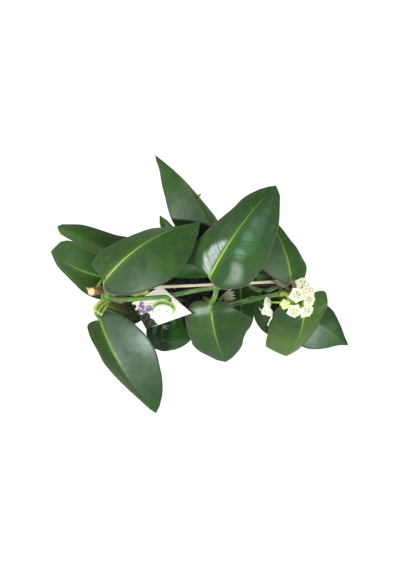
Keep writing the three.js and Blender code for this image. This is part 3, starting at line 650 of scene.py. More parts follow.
def makeLeaf(node, form, look):
    rng = growth(node)
    follow, leftward, length = midribOf(form)
    halves = [form.get(key) or form["halves"] for key in ("left", "right")]
    phase = rng.uniform(0, 6)
    build = leafBuild
    bm = bmesh.new()
    stored = addLayers(bm, "along", "side", "ribMm", "rimMm")
    ribs = {}
    for vert, even, v in newSheet(bm, build["rows"], build["columns"]):
        u = min(1, max(0, even - 0.1 * math.sin(2 * math.pi * even)))
        key = round(even, 5)
        if key not in ribs:
            ribs[key] = follow(u)
        spot, heading = ribs[key]
        side = 0 if v > 0 else 1
        lobe, lean, widths = halves[side]
        width = opening(u) * blendAlong(widths, u)
        back = lobe * opening(u) * abs(v) ** 1.5 * (1 - u) ** 6
        across = (leftward - heading * leftward.dot(heading)).normalized()
        up = heading.cross(across)
        across = across * math.copysign(1, v)
        angle = math.radians(blendAlong(lean, u))
        out = abs(v) * width
        sideways = across * math.cos(angle) + up * math.sin(angle)
        normal = up * math.cos(angle) - across * math.sin(angle)
        crown = build["crown"] * width * (abs(v) - v * v) * look["swell"][side]
        sweep = u * build["veins"] - build["veinSlant"] * abs(v)
        sweep += 0.35 * noise.noise(Vector((6 * u, 2 * v, phase)))
        quilting = math.cos(2 * math.pi * sweep)
        quilting *= look["quilt"] * build["quiltDepth"] * min(1, out / 6) * (1 - abs(v)) ** 0.6
        waving = math.sin(2 * math.pi * (1.6 * u + 0.2 * math.copysign(1, v)) + phase)
        waving *= look["wave"] * abs(v) ** 3 * min(1, 6 * (1 - u))
        vert.co = spot - heading * back * length + sideways * out + normal * (crown + quilting + waving)
        vert[stored["along"]] = u
        vert[stored["side"]] = v
        vert[stored["ribMm"]] = out
        vert[stored["rimMm"]] = min(width * (1 - abs(v)), 1.2 * (1 - u) * length + 0.2)
    bmesh.ops.remove_doubles(bm, verts=bm.verts, dist=0.02)
    thicken(bm, bm.faces[:], build["thickness"])
    low, high = build["rounded"]
    rim = [edge for edge in sharpEdges(bm) if all(low < vert[stored["along"]] < high for vert in edge.verts)]
    roundOff(bm, rim, build["rounding"])
    blade = set(bm.faces)
    joint = Vector(stemNodes[form["node"]])
    root = Vector(form["base"]) - Vector((0, 0, build["petioleDrop"]))
    end = root + follow(0)[1] * build["petioleReach"] - Vector((0, 0, 0.1))
    route = smoothRoute([joint, form["bend"], root, end], 1.2)
    sweepTube(bm, route, lambda spot, t: look["stalk"] + 0.4 * (1 - t) ** 3 - 3.4 * max(0, t - 0.75), 12)
    for face in bm.faces:
        if face not in blade:
            face.material_index = 1
    return bm


def bladeFinish(name, look):
    start = startFinish(name)
    along, side = start.stored("along"), start.stored("side")
    rib, rim = start.stored("ribMm"), start.stored("rimMm")
    mottle = start.cloud(30, 4)
    dapple = start.cloud(170, 5, rough=0.6)
    grain = start.cloud(900, 2)
    shade = start.cloud(60, 3)
    leftHalf = side.rise(-0.04, 0.04)
    divide = look["divide"]
    blend = 0.04 + divide * 0.4
    leftward = (side + (mottle - 0.5) * divide).rise(divide - blend, divide + blend)
    colour = start.mix(look["right"], look["left"], leftward)
    if look["far"]:
        colour = start.mix(colour, look["far"], along.rise(0.3, 0.75) * mottle.rise(0.2, 0.5) * 0.8)
    sweep = along * leafBuild["veins"] - abs(side) * leafBuild["veinSlant"] + (mottle - 0.5) * 0.5
    vein = abs(start.math("FRACT", sweep) - 0.5).fall(0.01, 0.07) * rib.rise(0.5, 3) * rim.rise(2, 8)
    fine = abs(start.math("FRACT", sweep * 3.5 + abs(side) * 1.5) - 0.5).fall(0.04, 0.2)
    fine = fine * rib.rise(0.8, 3) * rib.fall(8, 15) * dapple.rise(0.3, 0.55)
    edge = rim.fall(0.4, 7) * shade.rise(0.3, 0.62) * look["margin"]
    rimLine = rim.fall(0.2, 0.6) * (shade.rise(0.3, 0.6) * 0.5 + 0.2) * look["rimLine"]
    beside = rib.fall(1, 7) * along.fall(0.1, 0.9) * look["rib"]
    width = 1.05 - along * 0.75 + (grain - 0.5) * 0.5
    ribLine = (width - rib).rise(-0.35, 0.35)
    ribColour = start.mix(tint(164, 192, 92), tint(112, 148, 66), along.rise(0.1, 0.6))
    ribShare = along.fall(look["ribEnd"] - 0.45, look["ribEnd"] + 0.04) * look["rib"]
    speck = start.cells(150).fall(0.035, 0.06) * start.cloud(24, 2).rise(0.58, 0.66)
    colour = start.coats(
        colour,
        (tint(34, 58, 30), mottle.rise(0.5, 0.8) * 0.4), (tint(86, 122, 52), mottle.fall(0.24, 0.5) * 0.35),
        (tint(104, 134, 70), dapple.rise(0.54, 0.74) * 0.24),
        (tint(26, 48, 26), dapple.fall(0.28, 0.46) * 0.26),
        (tint(88, 122, 58), vein * 0.07), (tint(84, 74, 70), edge * 0.6), (tint(84, 122, 42), beside * 0.45),
        (ribColour, ribLine * ribShare), (tint(146, 148, 126), rimLine), (tint(206, 216, 190), speck * 0.7),
    )
    shares = []
    for i in (0, 1):
        end, fade, (low, high) = look["waxEnd"][i], look["waxFade"][i], look["waxBand"][i]
        band = abs(side).rise(low - 0.07, low + 0.07) * abs(side).fall(high - 0.14, high + 0.1)
        shares.append(along.fall(end - fade, end) * band * look["wax"][i])
    wax = leftHalf * shares[0] + (1 - leftHalf) * shares[1]
    wax = wax * (dapple.rise(0.2, 0.6) * 0.4 + 0.6) * (1 - ribLine * 0.6) * rim.rise(0.2, 3)
    wax = wax * (1 - vein * max(0, look["quilt"] - 0.35)) * (1 - fine * max(0, look["quilt"] - 0.65))

    def oval(atU, atV, longU, longV, slant):
        u, v = along - atU, side - atV
        far = u * u * (1 / longU**2) + (v + u * slant) * (v + u * slant) * (1 / longV**2)
        return (far + (mottle - 0.5) * 2 + (dapple - 0.5) * 2.6).fall(-0.4, 1.3) * along.rise(0.02, 0.08)

    for *shape, strength in look["gleams"]:
        wax = wax + oval(*shape) * (dapple.rise(0.3, 0.6) * 0.5 + 0.5) * strength
    # painted sheen: pale bluish ovals mixed into the colour as highlights, broken by the veins
    for *shape, strength in look["paintedSheen"]:
        sheenPatch = oval(*shape) * (dapple.rise(0.25, 0.65) * 0.6 + 0.4) * (1 - vein * 0.7)
        colour = start.mix(colour, tint(150, 182, 164), sheenPatch * strength)
    # painted shadow: a dark band across the blade near its base, where a leaf above shades it, with its shine
    # taken away too
    if look["shadow"]:
        dark = (along - side * 0.24).fall(look["shadow"] - 0.015, look["shadow"] + 0.02)
        colour = start.mix(colour, tint(12, 22, 10), dark * 0.9)
        wax = wax * (1 - dark)
    rough = (mottle - 0.5) * 0.12 + (dapple - 0.5) * 0.1 + 0.5
    height = grain * 0.1 + dapple * 0.3 + vein * (-0.3 * look["quilt"]) + ribLine * ribShare * 1.2
    height = height - fine * (0.5 * look["quilt"])
    return start.finish(
        Base_Color=colour, Roughness=rough, Normal=start.bump(height, 0.0008, 0.5),
        Coat_Weight=wax, Coat_Roughness=look["gloss"], Coat_IOR=look["waxIndex"], Specular_IOR_Level=0.06,
    )


petioleTones = {
    "green": (tint(128, 160, 62), tint(86, 124, 52)),
    "brown": (tint(128, 112, 92), tint(92, 80, 66)),
}


def petioleFinish(kind):
    start = startFinish(kind + "Petiole")
    cloud = start.cloud(120, 3)
    streak = start.cloud(60, 4, start.stretched((1, 1, 0.2)))
    colour = start.mix(*petioleTones[kind], cloud.rise(0.35, 0.65))
    colour = start.mix(colour, tint(96, 84, 54), streak.rise(0.6, 0.75) * 0.4)
    bump = start.bump(streak, 0.0004)
    return start.finish(Base_Color=colour, Roughness=0.5 + (cloud - 0.5) * 0.1, Normal=bump)


def makeLeaves():
    petioles = {kind: petioleFinish(kind) for kind in petioleTones}
    for node, form in leafForms.items():
        look = leafLooks["plain"] | leafLooks.get(node, {})
        finishes = [bladeFinish(node.replace("leaf", "blade"), look), petioles[look["petiole"]]]
        bm = makeLeaf(node, form, look)
        keepPiece(node.replace("leaf", "hoyaLeaf"), bm, finishes, "leaf", node, sharpAngle=60)
    print("leaves:", len(leafForms))


# stems

stems = {
    "vine_left": {
        "hole": (-44, -12), "joints": "admq", "dryEnd": True,
        "route": [*turnsRound("left", 112, 262), stemNodes["a"], (-66, -17.2, 286), (-40, -15.6, 284),
                  (-28, -15.2, 283), (-24.5, -17.5, 281)],
    },
    "vine_centre": {
        "hole": (-16, -20), "joints": "bg", "dryEnd": False,
        "route": [(-22, -19, 130), (-30, -18, 165), stemNodes["g"], (-38, -16, 235), (-33, -14.5, 254),
                  (-21, -13, 263), (2, -8.5, 276), stemNodes["b"], (25, -4.5, 286)],
    },
    "vine_right": {
        "hole": (8, -18), "joints": "chkp", "dryEnd": False,
        "route": [(12, -20, 125), stemNodes["p"], (19, -23, 180), stemNodes["h"], (27, -24, 232),
                  stemNodes["k"], (64, -15, 258), stemNodes["c"]],
    },
    "vine_back": {
        "hole": (-8, 12), "joints": "efior", "dryEnd": False,
        "route": [(-4, 15, 140), stemNodes["o"], stemNodes["r"], (20, 20, 236), stemNodes["e"], (12, 26, 250),
                  stemNodes["i"], (-30, 18, 240), stemNodes["f"]],
    },
    "vine_right_cane": {
        "hole": (44, -11), "joints": "lnt", "dryEnd": False, "route": turnsRound("right", 112, 230),
    },
}
stemBuild = {
    "radius": 2.2, "swelling": 0.95, "swellReach": 2.6, "step": 1.6, "sides": 14, "foot": (69, 79, 89, 96),
    "greenFrom": 200, "agedOver": 110,
}


def stemFinish():
    start = startFinish("stemGreen")
    age, joint = start.stored("age"), start.stored("joint")
    cloud = start.cloud(90, 3)
    streak = start.cloud(26, 4)
    fleck = start.cells(420).fall(0.10, 0.2) * cloud.rise(0.42, 0.6)
    colour = start.coats(
        start.mix(tint(116, 150, 70), tint(84, 118, 54), cloud.rise(0.4, 0.65)),
        (tint(126, 108, 66), age.rise(0.35, 0.95) * streak.rise(0.3, 0.6)),
        (tint(86, 66, 44), joint.rise(0.5, 0.95) * streak.rise(0.4, 0.6) * 0.8),
        (tint(120, 96, 62), fleck * 0.7), (tint(38, 26, 18), start.stored("cut").rise(0.3, 0.8)),
    )
    bump = start.bump(streak * 0.5 + fleck * 0.6 + start.cloud(700, 2) * 0.2, 0.0004, 0.7)
    return start.finish(Base_Color=colour, Roughness=0.48 + (cloud - 0.5) * 0.16, Normal=bump)


def makeStems():
    finish = stemFinish()
    build = stemBuild
    for name, form in stems.items():
        x, y = form["hole"]
        foot = [(x, y, height) for height in build["foot"]]
        route = smoothRoute([*foot, *form["route"]], build["step"])
        joints = [Vector(stemNodes[key]) for key in form["joints"]]

        def radiusAt(spot, share):
            near = min((spot - joint).length for joint in joints)
            swelling = build["swelling"] * hill(near, build["swellReach"])
            wobble = 0.12 * noise.noise(spot * 0.11) + 0.05 * noise.noise(spot * 0.6)
            return build["radius"] + swelling + wobble - 0.12 * share

        bm = bmesh.new()
        stored = addLayers(bm, "age", "joint", "cut")
        sweepTube(bm, route, radiusAt, build["sides"])
        for vert in bm.verts:
            near = min((vert.co - joint).length for joint in joints)
            vert[stored["joint"]] = hill(max(0, near - 2), 2.2)
            vert[stored["age"]] = max(0, min(1, (build["greenFrom"] - vert.co.z) / build["agedOver"]))
            vert[stored["cut"]] = hill((vert.co - route[-1]).length, 3.2) if form["dryEnd"] else 0
        keepPiece(name.replace("vine", "hoyaStem"), bm, [finish], "stem", name, sharpAngle=50)
    print("stems:", len(stems))


# trellis canes and rungs

caneTones = {
    "left": (tint(200, 144, 98), tint(158, 104, 68), tint(122, 80, 52)),
    # painted shade: the right cane is tinted near black for the shade it stands in; the left keeps the wood's
    # own browns
    "right": (tint(50, 38, 26), tint(30, 26, 16), tint(18, 20, 12)),
}


def caneFinish(side):
    start = startFinish(side + "CaneSkin")
    light, dark, patched = caneTones[side]
    cut, ring = start.stored("cutEnd"), start.stored("fromAxis")
    fibre = start.cloud(180, 4, start.stretched((1, 1, 0.06)))
    patch = start.cloud(18, 3)
    colour = start.mix(light, dark, fibre.rise(0.4, 0.66))
    colour = start.mix(colour, patched, patch.rise(0.56, 0.75) * 0.7)
    joint = start.stored("joint")
    colour = start.mix(colour, tint(94, 62, 42), joint.rise(0.4, 0.9) * 0.6)
    pith = start.cloud(500, 3)
    rings = start.math("SINE", ring * 9 + pith * 2)
    ringed = rings.rise(-0.6, 1) * 0.6 + pith.rise(0.5, 0.8) * 0.4
    pale = start.mix(tint(244, 214, 172), tint(206, 162, 114), ringed)
    pale = start.mix(pale, tint(150, 104, 70), ring.rise(3.1, 3.6))
    colour = start.mix(colour, pale, cut.rise(0.4, 0.6))
    bump = start.bump(fibre * 0.6 + rings * 0.1, 0.0005, 0.6)
    return start.finish(
        Base_Color=colour, Roughness=0.62 + (fibre - 0.5) * 0.2, Normal=bump, Specular_IOR_Level=0.15,
    )


def rungFinish(name, light, dark, glow):
    start = startFinish(name)
    across, tipped = start.stored("across"), start.stored("tipped")
    fibre = start.cloud(260, 4, start.stretched((0.05, 1, 1)))
    colour = start.mix(light, dark, fibre.rise(0.42, 0.68))
    # painted shade: the underside of each rung is darkened
    colour = start.mix(colour, tint(96, 66, 44), across.rise(-0.5, 0.4) * 0.85)
    colour = start.mix(colour, tint(138, 104, 82), tipped.rise(0.2, 0.9) * 0.85)
    bump = start.bump(fibre, 0.0004, 0.6)
    # the emission is painted light: the wood glows by the given strength
    return start.finish(
        Base_Color=colour, Roughness=0.6 + (fibre - 0.5) * 0.2, Normal=bump, Specular_IOR_Level=0.15,
        Emission_Color=colour, Emission_Strength=glow,
    )


def straightRoute(first, last, step):
    steps = round((last - first).length / step)
    return [first.lerp(last, i / steps) for i in range(steps + 1)]


def makeCanes():
    thick = trellis["caneDiameter"] / 2
    for side in caneTones:
        foot, top = caneEnds(side)
        length = (top - foot).length
        joints = [length * share for share in trellis["caneJoints"]]
        bm = bmesh.new()
        stored = addLayers(bm, "cutEnd", "fromAxis", "joint")

        def radiusAt(spot, share):
            swell = sum(hill(share * length - at, trellis["jointReach"]) for at in joints)
            end = 0.35 * max(0, 1 - (1 - share) * length / 1.2)
            return thick + trellis["jointSwell"] * swell - end + 0.1 * noise.noise(spot * 0.08)

        sweepTube(bm, straightRoute(foot, top, 1.5), radiusAt, 20)
        cutEnds = [face for face in bm.faces if len(face.verts) > 4]
        for cutEnd in cutEnds:
            for ring in range(3):
                bmesh.ops.inset_region(bm, faces=[cutEnd], thickness=0.75, use_even_offset=True)
        axis = (top - foot).normalized()
        for vert in bm.verts:
            reach = (vert.co - foot).dot(axis)
            vert[stored["fromAxis"]] = (vert.co - foot - axis * reach).length
            vert[stored["joint"]] = sum(hill(reach - at, 2) for at in joints)
            vert[stored["cutEnd"]] = 1 if reach > length - 0.02 or reach < 0.02 else 0
        keepPiece("trellisCane_" + side, bm, [caneFinish(side)], "cane", "cane_" + side)


def makeRungs():
    # painted shade and light: the lower rungs are tinted near black as shade, and the top rung glows a little
    shaded = rungFinish("shadedRungWood", tint(36, 28, 18), tint(20, 16, 12), 0)
    lit = rungFinish("litRungWood", tint(255, 236, 202), tint(244, 206, 156), 0.22)
    for number, height in enumerate(trellis["rungHeights"]):
        left, right = canePoint("left", height), canePoint("right", height)
        out = (right - left).normalized() * trellis["overhang"]
        ends = [left - out, right + out]
        length = (ends[1] - ends[0]).length
        thick = trellis["rungDiameters"][number] / 2

        def radiusAt(spot, share):
            end = 0.4 * max(0, 1 - min(share, 1 - share) * length)
            return thick * (1 - end) + 0.07 * noise.noise(spot * 0.3)

        bm = bmesh.new()
        stored = addLayers(bm, "across", "tipped")
        sweepTube(bm, straightRoute(*ends, 2), radiusAt, 12)
        for vert in bm.verts:
            share = (vert.co - ends[0]).dot(out.normalized()) / length
            vert[stored["across"]] = -(vert.co.z - ends[0].lerp(ends[1], share).z) / thick
            vert[stored["tipped"]] = max(0, 1 - min(share, 1 - share) * length / 16)
        wood = lit if number == trellis["litRung"] else shaded
        keepPiece(f"trellisRung_{number + 1}", bm, [wood], "rung", f"rung_{number + 1}")
    print("trellis: 2 canes and", len(trellis["rungHeights"]), "rungs")


# pot and potting mix

potForm = {
    "topDiameter": 120, "baseDiameter": 88, "height": 105, "wall": 1.6, "floor": 2.4, "rim": 11, "stand": 2.2,
    "drainCount": 6, "drainDiameter": 9, "drainRing": 31,
}
mixForm = {
    "top": 93, "heave": 1.4, "seed": 5,
    "crumbs": 420, "crumbSizes": (0.9, 2.0), "chips": 90, "chipSizes": (2.2, 4.2),
}


def spinProfile(bm, profile, steps):
    verts = [bm.verts.new((radius, 0, height)) for radius, height in profile]
    edges = [bm.edges.new(pair) for pair in zip(verts, verts[1:])]
    bmesh.ops.spin(
        bm, geom=verts + edges, cent=(0, 0, 0), axis=(0, 0, 1), angle=2 * math.pi, steps=steps, use_merge=True,
    )
    bmesh.ops.remove_doubles(bm, verts=bm.verts, dist=0.001)
    bmesh.ops.recalc_face_normals(bm, faces=bm.faces)


def potFinish():
    start = startFinish("potPlastic")
    cloud = start.cloud(20, 4)
    grain = start.cloud(1400, 2)
    scuff = start.cloud(70, 4, start.stretched((1, 1, 0.12)))
    colour = start.mix(tint(34, 35, 36), tint(22, 23, 24), cloud)
    colour = start.mix(colour, tint(70, 68, 64), scuff.rise(0.62, 0.8) * 0.5)
    dust = start.cloud(45, 3).rise(0.55, 0.8)
    colour = start.mix(colour, tint(66, 56, 46), dust * 0.25)
    bump = start.bump(grain * 0.3 + scuff * 0.2, 0.0003, 0.6)
    return start.finish(Base_Color=colour, Roughness=0.42 + scuff * 0.2 + dust * 0.1, Normal=bump)


def cutHoles(piece, cutter):
    cut = piece.modifiers.new("drainHoles", "BOOLEAN")
    cut.operation = "DIFFERENCE"
    cut.object = cutter
    shaped = piece.evaluated_get(bpy.context.evaluated_depsgraph_get())
    mesh = bpy.data.meshes.new_from_object(shaped)
    piece.modifiers.clear()
    piece.data = mesh
    bpy.data.objects.remove(cutter)


def makePot():
    form = potForm
    base, top = form["baseDiameter"] / 2, form["topDiameter"] / 2 - form["stand"]
    collar = form["height"] - form["rim"]
    under = base + (top - base) * collar / form["height"]
    outer = form["topDiameter"] / 2
    height, wall, floor = form["height"], form["wall"], form["floor"]
    profile = [
        (0, 0.9), (base - 9, 0.9), (base - 7.5, 0), (base - 1.4, 0), (base - 0.4, 0.4), (base, 1.4),
        (base + (under - base) * 0.5, collar / 2), (under, collar), (under + form["stand"] - 0.7, collar),
        (under + form["stand"], collar + 0.8), (outer - 0.1, height - 2.0), (outer, height - 1.2),
        (outer - 0.25, height - 0.4), (outer - 0.9, height), (top - wall + 0.7, height),
        (top - wall, height - 0.8), (base - wall + 0.4, floor + 2), (base - wall - 0.3, floor + 0.5),
        (base - wall - 1.6, floor), (0, floor),
    ]
    bm = bmesh.new()
    spinProfile(bm, profile, 112)
    piece = keepPiece("nurseryPot", bm, [potFinish()], "pot", "pot", sharpAngle=35)
    cutter = bmesh.new()
    for i in range(form["drainCount"]):
        angle = 2 * math.pi * (i + 0.5) / form["drainCount"]
        spot = Vector((form["drainRing"] * math.cos(angle), form["drainRing"] * math.sin(angle), 0))
        route = [spot - Vector((0, 0, 2)), spot + Vector((0, 0, 1)), spot + Vector((0, 0, 4))]
        sweepTube(cutter, route, lambda spot, share: form["drainDiameter"] / 2, 24)
    cutHoles(piece, addShape("drainCutter", cutter))
    print("pot done")


def mixFinish():
    start = startFinish("pottingMix")
    kind = start.stored("kind")
    cloud = start.cloud(160, 4)
    fine = start.cloud(900, 3)
    bark = start.mix(tint(58, 40, 27), tint(32, 22, 16), cloud.rise(0.35, 0.7))
    # the mix's browns are darker than the soil's own: partly its colour, partly painted shade from the foliage
    # over the pot
    colour = start.coats(
        start.mix(tint(24, 18, 14), tint(9, 7, 6), cloud.rise(0.35, 0.65)),
        (tint(40, 29, 20), fine.rise(0.6, 0.75) * 0.5), (bark, kind.rise(0.3, 0.6)),
        (tint(176, 168, 152), kind.rise(0.85, 0.95) * 0.8),
    )
    bump = start.bump(fine * 0.6 + cloud * 0.4, 0.0012, 0.9)
    return start.finish(Base_Color=colour, Roughness=0.9 - kind * 0.15, Normal=bump)


def mixHeight(x, y, reach):
    inside = 1 - math.hypot(x, y) / reach
    lift = math.sin(x * 0.31 + 1) * math.cos(y * 0.27) + 0.6 * math.sin(x * 0.83 + y * 0.71)
    grit = 0.9 * noise.noise(Vector((x, y, 0)) * 0.35) + 0.5 * noise.noise(Vector((x, y, 3)) * 0.9)
    return mixForm["top"] + (mixForm["heave"] * lift + grit) * min(1, 4 * inside) + 2 * inside


def makeMix():
    rng = random.Random(mixForm["seed"])
    form = potForm
    floor, height = form["floor"], form["height"]
    slope = (form["topDiameter"] - form["baseDiameter"] - 2 * form["stand"] - 0.8) / (2 * (height - floor - 2))

    def inner(z):
        return form["baseDiameter"] / 2 - form["wall"] + 0.4 + slope * (z - floor - 2) - 0.5

    bottom, top = floor + 3, mixForm["top"]
    reach = inner(top)
    rings = 34
    profile = [(0, bottom), (inner(bottom) - 1, bottom), (inner(bottom + 1) - 0.2, bottom + 1), (reach, top)]
    profile += [(reach * i / rings, top) for i in range(rings - 1, -1, -1)]
    bm = bmesh.new()
    kind = bm.verts.layers.float.new("kind")
    spinProfile(bm, profile, 120)
    for vert in bm.verts:
        if vert.co.z > top - 0.5:
            vert.co.z = mixHeight(vert.co.x, vert.co.y, reach)
    for i in range(mixForm["crumbs"] + mixForm["chips"]):
        chip = i >= mixForm["crumbs"]
        angle, out = rng.uniform(0, 2 * math.pi), (reach - 3) * math.sqrt(rng.random())
        x, y = out * math.cos(angle), out * math.sin(angle)
        size = rng.uniform(*mixForm["chipSizes" if chip else "crumbSizes"])
        shape = (1, rng.uniform(0.5, 0.8), rng.uniform(0.2, 0.35)) if chip else (1, rng.uniform(0.7, 1), 0.8)
        spin = Matrix.Rotation(rng.uniform(0, 6.3), 4, "Z") @ Matrix.Rotation(rng.uniform(-0.4, 0.4), 4, "X")
        place = Matrix.Translation((x, y, mixHeight(x, y, reach) + size * shape[2] * 0.3)) @ spin
        place = place @ Matrix.Diagonal((*[size * part for part in shape], 1))
        ball = bmesh.ops.create_icosphere(bm, subdivisions=1, radius=1, matrix=place)
        tone = 0.5 if chip else rng.choice((0, 0, 0.1, 0.3, 1.0) if i % 6 == 0 else (0, 0.15))
        for vert in ball["verts"]:
            vert.co += noise.noise_vector(vert.co * 0.5) * size * 0.25
            vert[kind] = tone
    keepPiece("pottingMix", bm, [mixFinish()], "soil", "soil", sharpAngle=50)
    print("potting mix done")


# care card

cardForm = {
    "back": (-33, -5, 267), "right": (-4.5, -30, 273), "front": (-47, -45, 262), "left": (-61, -21, 250),
    "bow": 3, "thickness": 0.9, "stakeHead": (0.14, 0.15), "stakeFoot": (-43, -19, 62), "stakeWidth": 9,
    "rounding": 0.18, "cells": 48,
}


def cardSurface(u, v):
    left, front = Vector(cardForm["left"]), Vector(cardForm["front"])
    back, right = Vector(cardForm["back"]), Vector(cardForm["right"])
    spot = left.lerp(front, (1 - v) / 2).lerp(back.lerp(right, (1 - v) / 2), u)
    spot.z += cardForm["bow"] * math.sin(math.pi * u)
    return spot


cardPrint = {
    "paper": tint(255, 244, 234), "paperShade": tint(250, 234, 226), "blush": tint(250, 224, 222),
    "foliage": (
        (0.02, 0.16, 0.24), (0.10, 0.42, 0.15), (0.02, 0.62, 0.10), (0.06, 0.0, 0.22), (0.0, 0.86, 0.08),
    ),
    "blossom": ((0.19, 0.72, 0.12), (0.31, 0.60, 0.11), (0.13, 0.58, 0.09), (0.25, 0.84, 0.07)),
    "stars": (
        (0.52, 0.44, 0.06), (0.62, 0.30, 0.065), (0.42, 0.26, 0.05), (0.50, 0.14, 0.04), (0.80, 0.70, 0.035),
    ),
    "sprays": ((0.62, 0.66, 0.03), (0.72, 0.62, 0.025), (0.86, 0.56, 0.03)),
}


def cardFinish():
    start = startFinish("printedCard")
    x, y = start.stored("printX"), start.stored("printY")
    paper = start.cloud(60, 3)
    ragged = start.cloud(260, 3)
    wear = start.cloud(90, 3)
    rim = start.stored("rimMm")

    def disc(centreX, centreY, radius, soft=0.02):
        far = start.math("SQRT", (x - centreX) * (x - centreX) + (y - centreY) * (y - centreY))
        return far.fall(radius - soft, radius + soft)

    def gathered(discs, soft):
        joined = disc(*discs[0], soft)
        for spot in discs[1:]:
            joined = start.math("MAXIMUM", joined, disc(*spot, soft))
        return joined

    def motif(name, soft, torn, end=0.6):
        return (gathered(cardPrint[name], soft) + (ragged - 0.5) * torn).rise(0.4, end)

    twig = abs(y - 0.86 + x * 0.34 - start.math("SINE", x * 7) * 0.03).fall(0.004, 0.014) * x.rise(0.3, 0.5)
    sprays = (gathered(cardPrint["sprays"], 0.012) + (ragged - 0.5)).rise(0.45, 0.6)
    crescent = disc(0.60, 0.42, 0.27) * (1 - disc(0.545, 0.35, 0.215, 0.03))
    green = start.mix(tint(182, 212, 108), tint(84, 132, 44), disc(0.59, 0.40, 0.235, 0.035))
    stripes = start.math("SINE", (x - y) * 34 + paper * 4).rise(0.7, 1)
    petals = start.cells(420)
    lilac = start.mix(tint(250, 244, 255), tint(138, 112, 152), petals.rise(0.24, 0.52))
    lilac = start.mix(lilac, tint(84, 60, 100), petals.fall(0.05, 0.12) * 0.5)
    hearts = gathered([(spotX, spotY, radius * 0.3) for spotX, spotY, radius in cardPrint["stars"]], 0.012)
    colour = start.coats(
        start.mix(cardPrint["paper"], cardPrint["paperShade"], paper),
        (cardPrint["blush"], start.cloud(26, 2).rise(0.5, 0.8) * 0.6),
        (tint(134, 106, 110), twig * x.fall(0.86, 0.92) * 0.7), (tint(150, 130, 136), sprays * 0.7),
        (start.mix(green, tint(214, 232, 160), ragged.rise(0.5, 0.7) * 0.5), crescent),
        (start.mix(tint(30, 36, 14), tint(74, 84, 36), stripes * 0.7), motif("foliage", 0.05, 0.3)),
        (lilac, motif("blossom", 0.03, 0.7)), (tint(255, 252, 255), motif("stars", 0.018, 0.7, 0.58)),
        (tint(188, 126, 168), hearts), (tint(255, 251, 246), rim.fall(0.4, 0.8) * x.rise(0.1, 0.3) * 0.8),
        (tint(196, 184, 172), rim.fall(0.1, 0.5) * wear.rise(0.5, 0.7) * 0.4),
    )
    bump = start.bump(start.cloud(900, 2) * 0.3 + paper * 0.2, 0.0002, 0.5)
    # the card glows a little, as painted light on the paper
    return start.finish(
        Base_Color=colour, Roughness=0.4 + (wear - 0.5) * 0.15, Normal=bump, Specular_IOR_Level=0.12,
        Emission_Color=colour, Emission_Strength=0.06,
    )


def makeCard():
    form = cardForm
    bm = bmesh.new()
    stored = addLayers(bm, "printX", "printY", "rimMm")
    long = (Vector(form["back"]) - Vector(form["left"])).length
    forward = Vector(form["front"]) - Vector(form["left"])
    wide = forward.length
    for vert, u, v in newSheet(bm, form["cells"], form["cells"]):
        vert.co = cardSurface(u, v)
        vert[stored["printX"]] = u
        vert[stored["printY"]] = (v + 1) / 2
        vert[stored["rimMm"]] = min(min(u, 1 - u) * long, (1 - abs(v)) * wide / 2)
    thicken(bm, bm.faces[:], form["thickness"])
    roundOff(bm, sharpEdges(bm), form["rounding"])
    head = cardSurface(*form["stakeHead"]) - Vector((0, 0, form["thickness"] / 2))
    foot = Vector(form["stakeFoot"])
    edge = forward.normalized() * form["stakeWidth"] / 2
    stake = newSheet(bm, 60, 6)
    for vert, u, v in stake:
        vert.co = foot.lerp(head, u) + edge * v * min(1, 0.25 + 6 * u)
        vert[stored["printX"]] = -1  # off the printed picture
        vert[stored["printY"]] = -1
        vert[stored["rimMm"]] = 4
    front = edge.cross(head - foot)
    if front.y < 0:
        front = -front
    thicken(bm, facesOf(vert for vert, u, v in stake), form["thickness"], front)
    keepPiece("careCard", bm, [cardFinish()], "card", "care_card", sharpAngle=50)
    print("care card done")


# flowers

umbelForm = {
    "hub": (86, -17, 274), "stalk": 1.9, "pedicel": 0.85, "radius": 7.7, "valley": 0.76, "thickness": 0.6,
    "corona": 1.8, "reflex": 1.3, "rings": 24, "turns": 70, "bracts": 7, "bractReach": 2.2,
}
floretSpots = {
    "floret_1": {"at": (96.3, -3.5, 286), "face": (0.15, 0.4, 0.9), "turn": 10},
    "floret_2": {"at": (101.8, -9.2, 288.5), "face": (0.45, 0.2, 0.85), "turn": 30},
    "floret_3": {"at": (102.6, -17.6, 288), "face": (0.55, -0.05, 0.8), "turn": 0},
    "floret_4": {"at": (100.3, -27.8, 284.5), "face": (0.35, -0.35, 0.85), "turn": 18},
    "floret_5": {"at": (90.6, -13.2, 293), "face": (-0.15, 0, 1), "turn": 47},
    "floret_6": {"at": (88.9, -27.9, 284), "face": (-0.1, -0.45, 0.85), "turn": 58},
}
budForm = {
    "at": (80.8, -21.6, 284), "face": (-0.15, 0, 1), "turn": 33, "radius": 5.4, "height": 2.2, "valley": 0.79,
}


def starEdge(angle, valley):
    # how far a five-pointed outline reaches, 1 at its points
    fold = math.radians(36)
    off = abs((angle + fold) % (2 * fold) - fold)
    return valley * math.sin(fold) / (math.sin(off) + valley * math.sin(fold - off))


def facing(spot):
    upright = Vector((0, 0, 1)).rotation_difference(Vector(spot["face"]).normalized()).to_matrix().to_4x4()
    return Matrix.Translation(spot["at"]) @ upright @ Matrix.Rotation(math.radians(spot["turn"]), 4, "Z")


